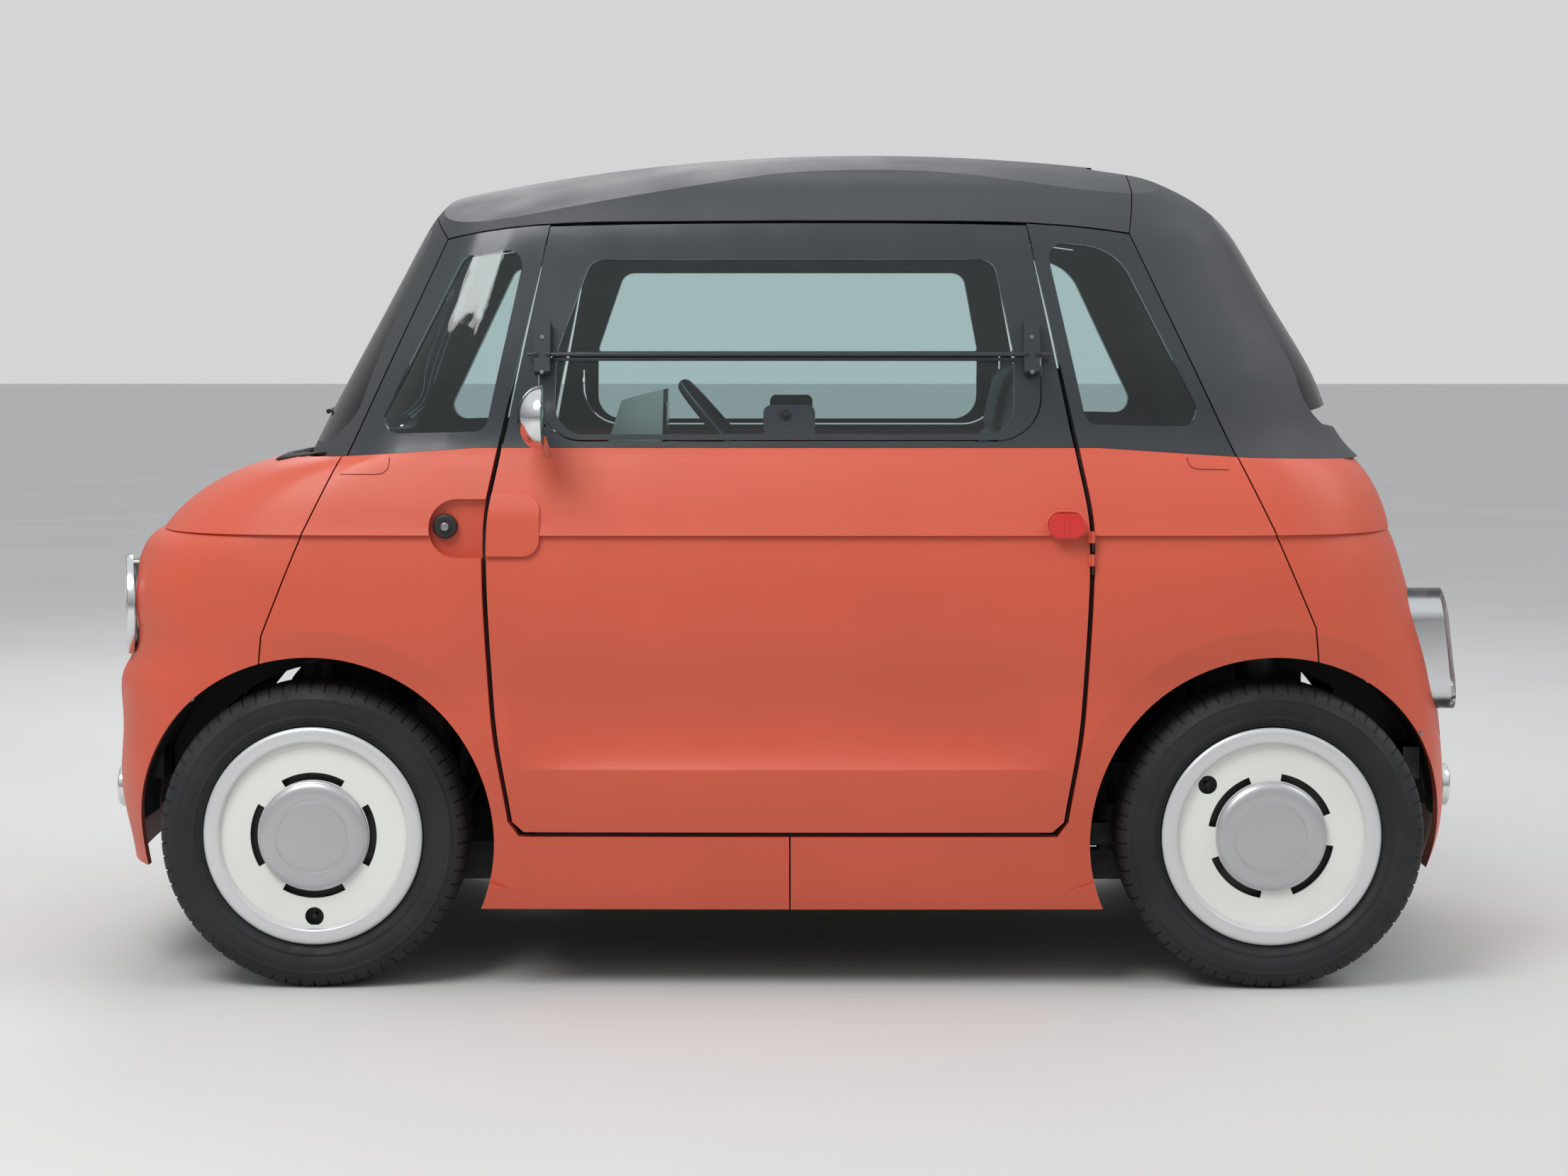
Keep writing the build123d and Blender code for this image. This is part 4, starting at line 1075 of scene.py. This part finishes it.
class MICROCAR_OT_trim(bpy.types.Operator):
    """Painted shade along the corner-cover seams, reflector frames, cowl and wiper"""

    bl_idname = "microcar.trim"
    bl_label = "Outside trim"

    def execute(self, context):
        for side, label in FLANKS:
            paths = []
            for end in ("front", "rear"):
                node = ("side_panel_%s_%s" % (end, label),)
                points = [(x, side * OUTSIDE_Y, z) for x, z in COVER_LINES[end]]
                paths.append(laid(points, node, (0, -side, 0), 0.0002))
            # The seams are thin dark coral beads, which are painted shade of the grooves along the corner
            # covers' seams
            beads("corner_cover_seams_" + label, [p for p in paths if len(p) > 1], 0.0009,
                  "seam_shadow", "body", sides=6)
            self.reflector(side, label)
        self.cowl()
        self.wiper()
        return {"FINISHED"}

    def reflector(self, side, label):
        """Ribs across a door's reflector and a frame round it."""
        node = "door_reflector_" + label
        low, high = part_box(node)
        mid = (low + high) / 2
        ribs = []
        for shift in (-0.0045, 0.0045):
            points = [(mid.x + shift, side * OUTSIDE_Y, mid.z + t)
                      for t in (-0.0185, -0.009, 0.0, 0.009, 0.0185)]
            ribs.append(laid(points, (node,), (0, -side, 0), 0.0))
        beads("reflector_ribs_" + label, ribs, 0.0011, "reflector_red" if side > 0 else "reflector_amber",
              "door_" + label)
        outline = []
        w, h = (high.x - low.x) / 2 + 0.0022, (high.z - low.z) / 2 + 0.0022
        for i in range(40):
            a = math.tau * i / 40
            x = mid.x + math.copysign(max(w - h, 0), math.cos(a)) + h * math.cos(a)
            outline.append((x, side * OUTSIDE_Y, mid.z + h * math.sin(a)))
        ring = laid(outline, ("door_panel_" + label,), (0, -side, 0), 0.0006)
        beads("reflector_frame_" + label, [ring], 0.0026, "coral_moulding", "door_" + label, closed=True)

    def cowl(self):
        """The strip between the bonnet and the foot of the windscreen."""
        rows = []
        nodes = ("front_fascia", "side_panel_front_left", "side_panel_front_right")
        reaches = (0.004, 0.014, 0.022, 0.030, 0.040, 0.050)
        rises = (0.010, 0.0085, 0.007, 0.0065, 0.0055, 0.003)
        for i in range(41):
            y = -COWL_HALF + 2 * COWL_HALF * i / 40
            base = laid([(CLEAR, y, 1.000)], ("windscreen_frame",), (-1, 0, 0))
            edge = base[0].x if base else 0.88
            row = []
            for k, ahead in enumerate(reaches):
                drop = laid([(edge + ahead, y, CLEAR)], nodes, (0, 0, -1))
                height = max(drop[0].z, 0.90) if drop else 0.95
                row.append(Vector((edge + ahead, y, height + rises[k])))
            rows.append(row)
        sheet_of("cowl", rows, 0.003, "tub_plastic", "body")

    def wiper(self):
        """One blade with its arm and pivot, laid on the windscreen."""
        glass, back = ("windscreen",), (-1, 0, 0)
        blade = laid([(CLEAR, 0.34 - 0.62 * i / 20, 1.035 + 0.012 * i / 20) for i in range(21)],
                     glass, back, 0.007)
        arm = laid([(CLEAR, -0.12 + 0.14 * i / 8, 1.012 + 0.03 * i / 8) for i in range(9)],
                   glass, back, 0.017)
        beads("wiper_blade", [blade], 0.0045, "seal_rubber", "body")
        beads("wiper_arm", [arm], 0.0055, "frame_paint", "body")
        pivot = [(0, 8), (9, 7), (12, 3), (13, -22), (0, -22)]
        turned("wiper_pivot", pivot, arm[0], (0.85, 0, 0.5), "frame_paint", 32, "body")


# ---------------------------------------------------------------- cabin
WHEEL_CENTRE = Vector((0.070, 0.300, 0.950))
WHEEL_AXIS = Vector((-0.760, 0.0, 0.650)).normalized()
DOOR_INSIDE_Y = 0.66  # taken where a ray finds no panel
CARD_FOOT, CARD_HEIGHT, CARD_HALF = 0.262, 0.69, 0.455
PULL_Z = 0.86
LINING_X = -0.50  # the upright line that the luggage space's lining goes round


def hump(offset, reach, power):
    """One at the middle, falling to nothing at its reach."""
    return max(0.0, 1 - (offset / reach) ** power)


class MICROCAR_OT_cabin(bpy.types.Operator):
    """Door cards, rear trim, pedals and the driver's controls"""

    bl_idname = "microcar.cabin"
    bl_label = "Cabin"

    def execute(self, context):
        for side, label in FLANKS:
            self.door_card(side, label)
        self.luggage_trim()
        self.wheel_grip()
        self.controls()
        return {"FINISHED"}

    def door_card(self, side, label):
        """The door's inner card with its pocket and arm rest, and a pull handle."""
        node = ("door_panel_" + label,)
        rows = []
        for i in range(25):
            z = CARD_FOOT + CARD_HEIGHT * i / 24
            row = []
            for k in range(33):
                x = DOOR_X - CARD_HALF + 2 * CARD_HALF * k / 32
                y = skin_y(side, x, z, node, True, 0.0)
                pocket = hump(x - DOOR_X, 0.33, 4) * hump(z - 0.42, 0.12, 4)
                rest = hump(x - DOOR_X, 0.30, 6) * hump(z - 0.80, 0.035, 2)
                inset = 0.004 + 0.012 * pocket + 0.022 * rest
                row.append(Vector((x, (y or side * DOOR_INSIDE_Y) - side * inset, z)))
            rows.append(row)
        sheet_of("door_card_" + label, rows, 0.003, "dash_moulding", "door_" + label)
        pull = [DOOR_X + t for t in (-0.10, -0.09, 0.0, 0.09, 0.10)]
        base = [skin_y(side, x, PULL_Z, node, True, 0.0) or side * DOOR_INSIDE_Y for x in pull]
        path = [Vector((x, y - side * (0.008 if i in (0, 4) else 0.036), PULL_Z))
                for i, (x, y) in enumerate(zip(pull, base))]
        beads("door_pull_" + label, [path], 0.009, "rim_leather", "door_" + label, sides=16)

    def luggage_trim(self):
        """Dark lining round the inside of the tail and the rear quarters."""
        nodes = ("rear_fascia", "side_panel_rear_left", "side_panel_rear_right")
        levels = [0.648 + 0.29 * k / 8 for k in range(9)]
        rows = []
        for i in range(73):
            a = math.radians(104 + 152 * i / 72)
            way = Vector((math.cos(a), math.sin(a), 0))
            row = []
            for z in levels:
                start = Vector((LINING_X, 0, z))
                hit = surface(*nodes).ray_cast(start, way, 2.0)[0]
                row.append((hit or start + way * 0.64) - way * 0.008)
            rows.append(row)
        sheet_of("luggage_lining", rows, 0.003, "tub_plastic", "body")
        mat = block((-1.04, -0.50, 0.6405), (-0.62, 0.50, 0.6505), "carpet", "luggage_mat", 0.004)
        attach(mat, "body")
        for side, label in FLANKS:
            y = side * 0.30
            rug = block((0.02, y - 0.22, 0.2255), (0.44, y + 0.22, 0.2335), "carpet",
                        "foot_mat_" + label, 0.003)
            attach(rug, "body")

    def wheel_grip(self):
        """Leather grip rings and the plain boss of the steering wheel."""
        boss = [(0, 20), (22, 19), (36, 15), (43, 8), (45, 0), (45, -30), (42.5, -30), (42.5, 8), (0, 9)]
        turned("wheel_boss", boss, WHEEL_CENTRE, WHEEL_AXIS, "dash_moulding", 64, "steering_wheel")
        seam = [(190.6, 2), (191.6, 0), (190.6, -2), (189.6, 0)]
        turned("wheel_stitching", seam, WHEEL_CENTRE, WHEEL_AXIS, "seam_thread", 128, "steering_wheel")
        across = Vector((0, 1, 0))
        paths = [[WHEEL_CENTRE + across * sign * t + WHEEL_AXIS * -0.001 for t in (0.05, 0.10, 0.168)]
                 for sign in (-1, 1)]
        beads("wheel_spoke_caps", paths, 0.0105, "rim_leather", "steering_wheel", sides=16)

    def controls(self):
        """Pedals, the driver's screen, the dashboard's keys, the brake lever and the stalks."""
        parts = []
        for y, width in ((0.235, 0.055), (0.345, 0.075)):
            parts.append(block((0.565, y - width / 2, 0.30), (0.580, y + width / 2, 0.40),
                               "seal_rubber", "pad", 0.004, Matrix.Rotation(math.radians(-28), 3, "Y")))
            parts.append(block((0.578, y - 0.008, 0.33), (0.594, y + 0.008, 0.62),
                               "frame_paint", "arm", 0.003, Matrix.Rotation(math.radians(-14), 3, "Y")))
        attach(joined("pedals", parts), "body")
        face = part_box("instrument_pod")[0].x
        screen = block((face - 0.0032, 0.225, 0.965), (face - 0.0008, 0.375, 1.055), "screen_glass",
                       "instrument_face", 0.001)
        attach(screen, "body")
        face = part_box("dashboard")[0].x
        plates = []
        for y in (-0.10, 0.0, 0.10):
            plates.append(block((face - 0.005, y - 0.035, 0.835), (face - 0.0005, y + 0.035, 0.865),
                                "rim_leather", "key", 0.002))
        plates.append(block((face - 0.004, -0.50, 0.812), (face - 0.0005, -0.20, 0.888),
                            "dash_moulding", "tray", 0.006))
        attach(joined("dash_keys", plates), "body")
        lever = [Vector((-0.02, 0.0, 0.235)), Vector((-0.03, 0.0, 0.33)), Vector((-0.06, 0.0, 0.45))]
        beads("brake_lever", [lever], 0.013, "rim_leather", "body", sides=16)
        stalks = []
        root = WHEEL_CENTRE - WHEEL_AXIS * 0.085
        for sign in (-1, 1):
            stalks.append([root + Vector((0, sign * 0.03, 0)), root + Vector((0, sign * 0.10, 0.012)),
                           root + Vector((0, sign * 0.15, 0.016))])
        beads("column_stalks", stalks, 0.0065, "rim_leather", "body", sides=12)


# ---------------------------------------------------------------- seats
PAD_LIMIT = 0.012  # the furthest that a point of a pad may move when it is blown up
PAD_FRAMES = 14
SEAT_Y = 0.300
CHANNEL_REACH, CHANNEL_DEPTH = 0.016, 0.0075


def swelled(made):
    """Blow a closed pad up as cloth and keep what that gives, with every point's move capped."""
    rest = [v.co.copy() for v in made.data.vertices]
    cloth = made.modifiers.new("fill", "CLOTH").settings
    cloth.quality = 4
    cloth.use_pressure = True
    cloth.uniform_pressure_force = 4.0
    cloth.effector_weights.gravity = 0.0
    cloth.tension_stiffness = cloth.compression_stiffness = 12
    scene = bpy.context.scene
    for frame in range(1, PAD_FRAMES + 1):
        scene.frame_set(frame)
    applied(made)
    scene.frame_set(1)
    for vertex, start in zip(made.data.vertices, rest):
        move = vertex.co - start
        if move.length > PAD_LIMIT:
            vertex.co = start + move.normalized() * PAD_LIMIT


def waist(u, w):
    """How far a pad's side draws in between its corners, as a share of the full size."""
    return 1 - 0.035 * (1 - u * u) * abs(w) ** 3


def pad_blank(name, size, voxel):
    """A crowned block round the origin, narrower between its corners, ready to be blown up."""
    x, y, z = [s / 2 for s in size]
    work = bmesh.new()
    bmesh.ops.create_cube(work, size=2.0)
    bmesh.ops.subdivide_edges(work, edges=work.edges[:], cuts=15, use_grid_fill=True)
    for v in work.verts:
        a, b, c = v.co
        v.co = Vector((a * x * waist(b, a), b * y * waist(a, b), c * z))
        v.co.z *= 1 - 0.30 * max(abs(a), abs(b)) ** 7
    made = from_work(name, work)
    soften = made.modifiers.new("round", "BEVEL")
    soften.width, soften.segments, soften.limit_method = 0.022, 3, "ANGLE"
    grid = made.modifiers.new("even", "REMESH")
    grid.mode, grid.voxel_size = "VOXEL", voxel
    return applied(made)


def sewn(made, size, channels, along):
    """Press sewn channels into both faces of a pad."""
    half = size[2] / 2
    for v in made.data.vertices:
        u = v.co[along]
        near = min(abs(u - c) for c in channels)
        if abs(v.co.z) > half * 0.55 and near < CHANNEL_REACH:
            depth = CHANNEL_DEPTH * math.cos(near / CHANNEL_REACH * math.pi / 2) ** 2
            v.co.z -= math.copysign(depth, v.co.z)


class MICROCAR_OT_seats(bpy.types.Operator):
    """Cloth cushions of the two seats"""

    bl_idname = "microcar.seats"
    bl_label = "Seats"

    def execute(self, context):
        base_size, back_size = (0.405, 0.412, 0.096), (0.540, 0.412, 0.078)
        base = self.pad("base", base_size, [-0.09, 0.09], 1)
        base.data.transform(Matrix.Translation((-0.2175, SEAT_Y, 0.5275)))
        back = self.pad("back", back_size, [-0.12, 0.0, 0.12], 0)
        tilt = Matrix.Rotation(math.radians(90 - 12), 4, "Y")
        back.data.transform(tilt)
        lean = Matrix.Rotation(math.radians(-12), 4, "Y")
        centre = Matrix.Translation((-0.430, SEAT_Y, 0.5784)) @ lean @ Vector((0.0475, 0.0, 0.280))
        back.data.transform(Matrix.Translation(centre))
        left = joined("seat_pads_left", [base, back])
        right = left.copy()
        right.name = "seat_pads_right"
        right.data = left.data.copy()
        right.data.name = "seat_pads_right"
        right.data.transform(Matrix.Translation((0, -2 * SEAT_Y, 0)))
        bpy.context.scene.collection.objects.link(right)
        for made in (left, right):
            smoothed(made)
            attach(made, "body")
        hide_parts("seat_cushions")
        return {"FINISHED"}

    def pad(self, name, size, channels, along):
        """One cloth pad, blown up and sewn."""
        made = pad_blank(name, size, 0.0065)
        swelled(made)
        sewn(made, size, channels, along)
        made.data.materials.clear()
        made.data.materials.append(finish("seat_cloth"))
        return made


# ---------------------------------------------------------------- stage
SKY = ((0.46, (0.20, 0.195, 0.19, 1)), (0.80, (0.94, 0.97, 1.0, 1)))  # low and high stops
BACKDROP = (0.66, 0.67, 0.67, 1)
FLOOR_REACH = 90.0
LAMPS = (  # name, place, target, size and power
    ("high_window", (2.4, 3.9, 5.6), (0.1, 0.0, 0.5), 3.4, 235),
    ("tail_window", (-4.6, 1.0, 4.6), (0.0, 0.0, 0.7), 3.6, 90),
    ("far_window", (1.0, -5.0, 4.4), (0.0, 0.0, 0.6), 3.6, 110),
)


class MICROCAR_OT_stage(bpy.types.Operator):
    """Lay the floor, raise the backdrop, hang the lights and place the camera"""

    bl_idname = "microcar.stage"
    bl_label = "Set the stage"

    def execute(self, context):
        stage = settings("stage")
        scene = context.scene
        scene.view_settings.view_transform = "Standard"
        self.camera(scene, stage)
        self.floor(stage)
        self.world(scene)
        for lamp in LAMPS:
            self.lamp(*lamp)
        return {"FINISHED"}

    def camera(self, scene, stage):
        data = bpy.data.cameras.new("camera")
        data.lens = stage.lens
        data.sensor_width = 36.0
        camera = bpy.data.objects.new("camera", data)
        camera.location = stage.camera_place
        turn = Matrix.Rotation(math.pi + stage.camera_turn, 3, "Z")
        tilt = Matrix.Rotation(math.pi / 2 - stage.camera_pitch, 3, "X")
        camera.rotation_euler = (turn @ tilt).to_euler()
        scene.collection.objects.link(camera)
        scene.camera = camera

    def floor(self, stage):
        f = Finish("studio_floor", stage.floor_colour, 0.75)
        f.tint(f.noise(0.8, 3), 0.97, 1.02)
        corners = [(x * FLOOR_REACH, y * FLOOR_REACH, 0) for x, y in ((-1, -1), (1, -1), (1, 1), (-1, 1))]
        floor = bare("studio_floor", corners, (), [(0, 1, 2, 3)])
        floor.data.materials.append(f.material)

    def world(self, scene):
        """A pale backdrop for the camera and a graded sky for everything else."""
        world = bpy.data.worlds.new("studio")
        world.use_nodes = True
        nodes, links = world.node_tree.nodes, world.node_tree.links
        sky = nodes["Background"]
        sky.inputs["Strength"].default_value = 0.78
        place, split = nodes.new("ShaderNodeTexCoord"), nodes.new("ShaderNodeSeparateXYZ")
        ramp = nodes.new("ShaderNodeValToRGB")
        for stop, (position, colour) in zip(ramp.color_ramp.elements, SKY):
            stop.position, stop.color = position, colour
        lift = nodes.new("ShaderNodeMapRange")
        lift.inputs["From Min"].default_value = -1.0
        links.new(place.outputs["Generated"], split.inputs[0])
        links.new(split.outputs["Z"], lift.inputs["Value"])
        links.new(lift.outputs["Result"], ramp.inputs["Fac"])
        links.new(ramp.outputs["Color"], sky.inputs["Color"])
        seen = nodes.new("ShaderNodeBackground")
        seen.inputs["Color"].default_value = BACKDROP
        seen.inputs["Strength"].default_value = 1.0
        path, mix = nodes.new("ShaderNodeLightPath"), nodes.new("ShaderNodeMixShader")
        links.new(path.outputs["Is Camera Ray"], mix.inputs[0])
        links.new(sky.outputs[0], mix.inputs[1])
        links.new(seen.outputs[0], mix.inputs[2])
        links.new(mix.outputs[0], nodes["World Output"].inputs["Surface"])
        scene.world = world

    def lamp(self, name, place, target, size, power):
        data = bpy.data.lights.new(name, "AREA")
        data.shape, data.size, data.energy = "DISK", size, power
        lamp = bpy.data.objects.new(name, data)
        lamp.location = place
        lamp.rotation_euler = (Vector(target) - Vector(place)).to_track_quat("-Z", "Y").to_euler()
        bpy.context.scene.collection.objects.link(lamp)


class MICROCAR_PT_panel(bpy.types.Panel):
    """The microcar's pieces, in the sidebar"""

    bl_idname = "MICROCAR_PT_panel"
    bl_label = "Microcar"
    bl_space_type = "VIEW_3D"
    bl_region_type = "UI"
    bl_category = "Microcar"

    def draw(self, context):
        for group in GROUPS:
            box = self.layout.box()
            values = settings(group)
            for key in values.__annotations__:
                box.prop(values, key)
        for operator in OPERATORS:
            self.layout.operator(operator.bl_idname)


GROUPS = {"finish": FinishSettings, "tyre": TyreSettings, "stage": StageSettings}
OPERATORS = (
    MICROCAR_OT_finishes,
    MICROCAR_OT_tyres,
    MICROCAR_OT_covers,
    MICROCAR_OT_liners,
    MICROCAR_OT_lamps,
    MICROCAR_OT_mirrors,
    MICROCAR_OT_handles,
    MICROCAR_OT_trim,
    MICROCAR_OT_cabin,
    MICROCAR_OT_seats,
    MICROCAR_OT_stage,
)


def register():
    for made in (*GROUPS.values(), *OPERATORS, MICROCAR_PT_panel):
        bpy.utils.register_class(made)
    for name, group in GROUPS.items():
        setattr(bpy.types.Scene, "microcar_" + name, bpy.props.PointerProperty(type=group))


def unregister():
    for name in GROUPS:
        delattr(bpy.types.Scene, "microcar_" + name)
    for made in (MICROCAR_PT_panel, *OPERATORS[::-1], *GROUPS.values()):
        bpy.utils.unregister_class(made)


def main():
    register()
    for operator in OPERATORS:
        family, name = operator.bl_idname.split(".")
        getattr(getattr(bpy.ops, family), name)()


if __name__ == "__main__":
    main()
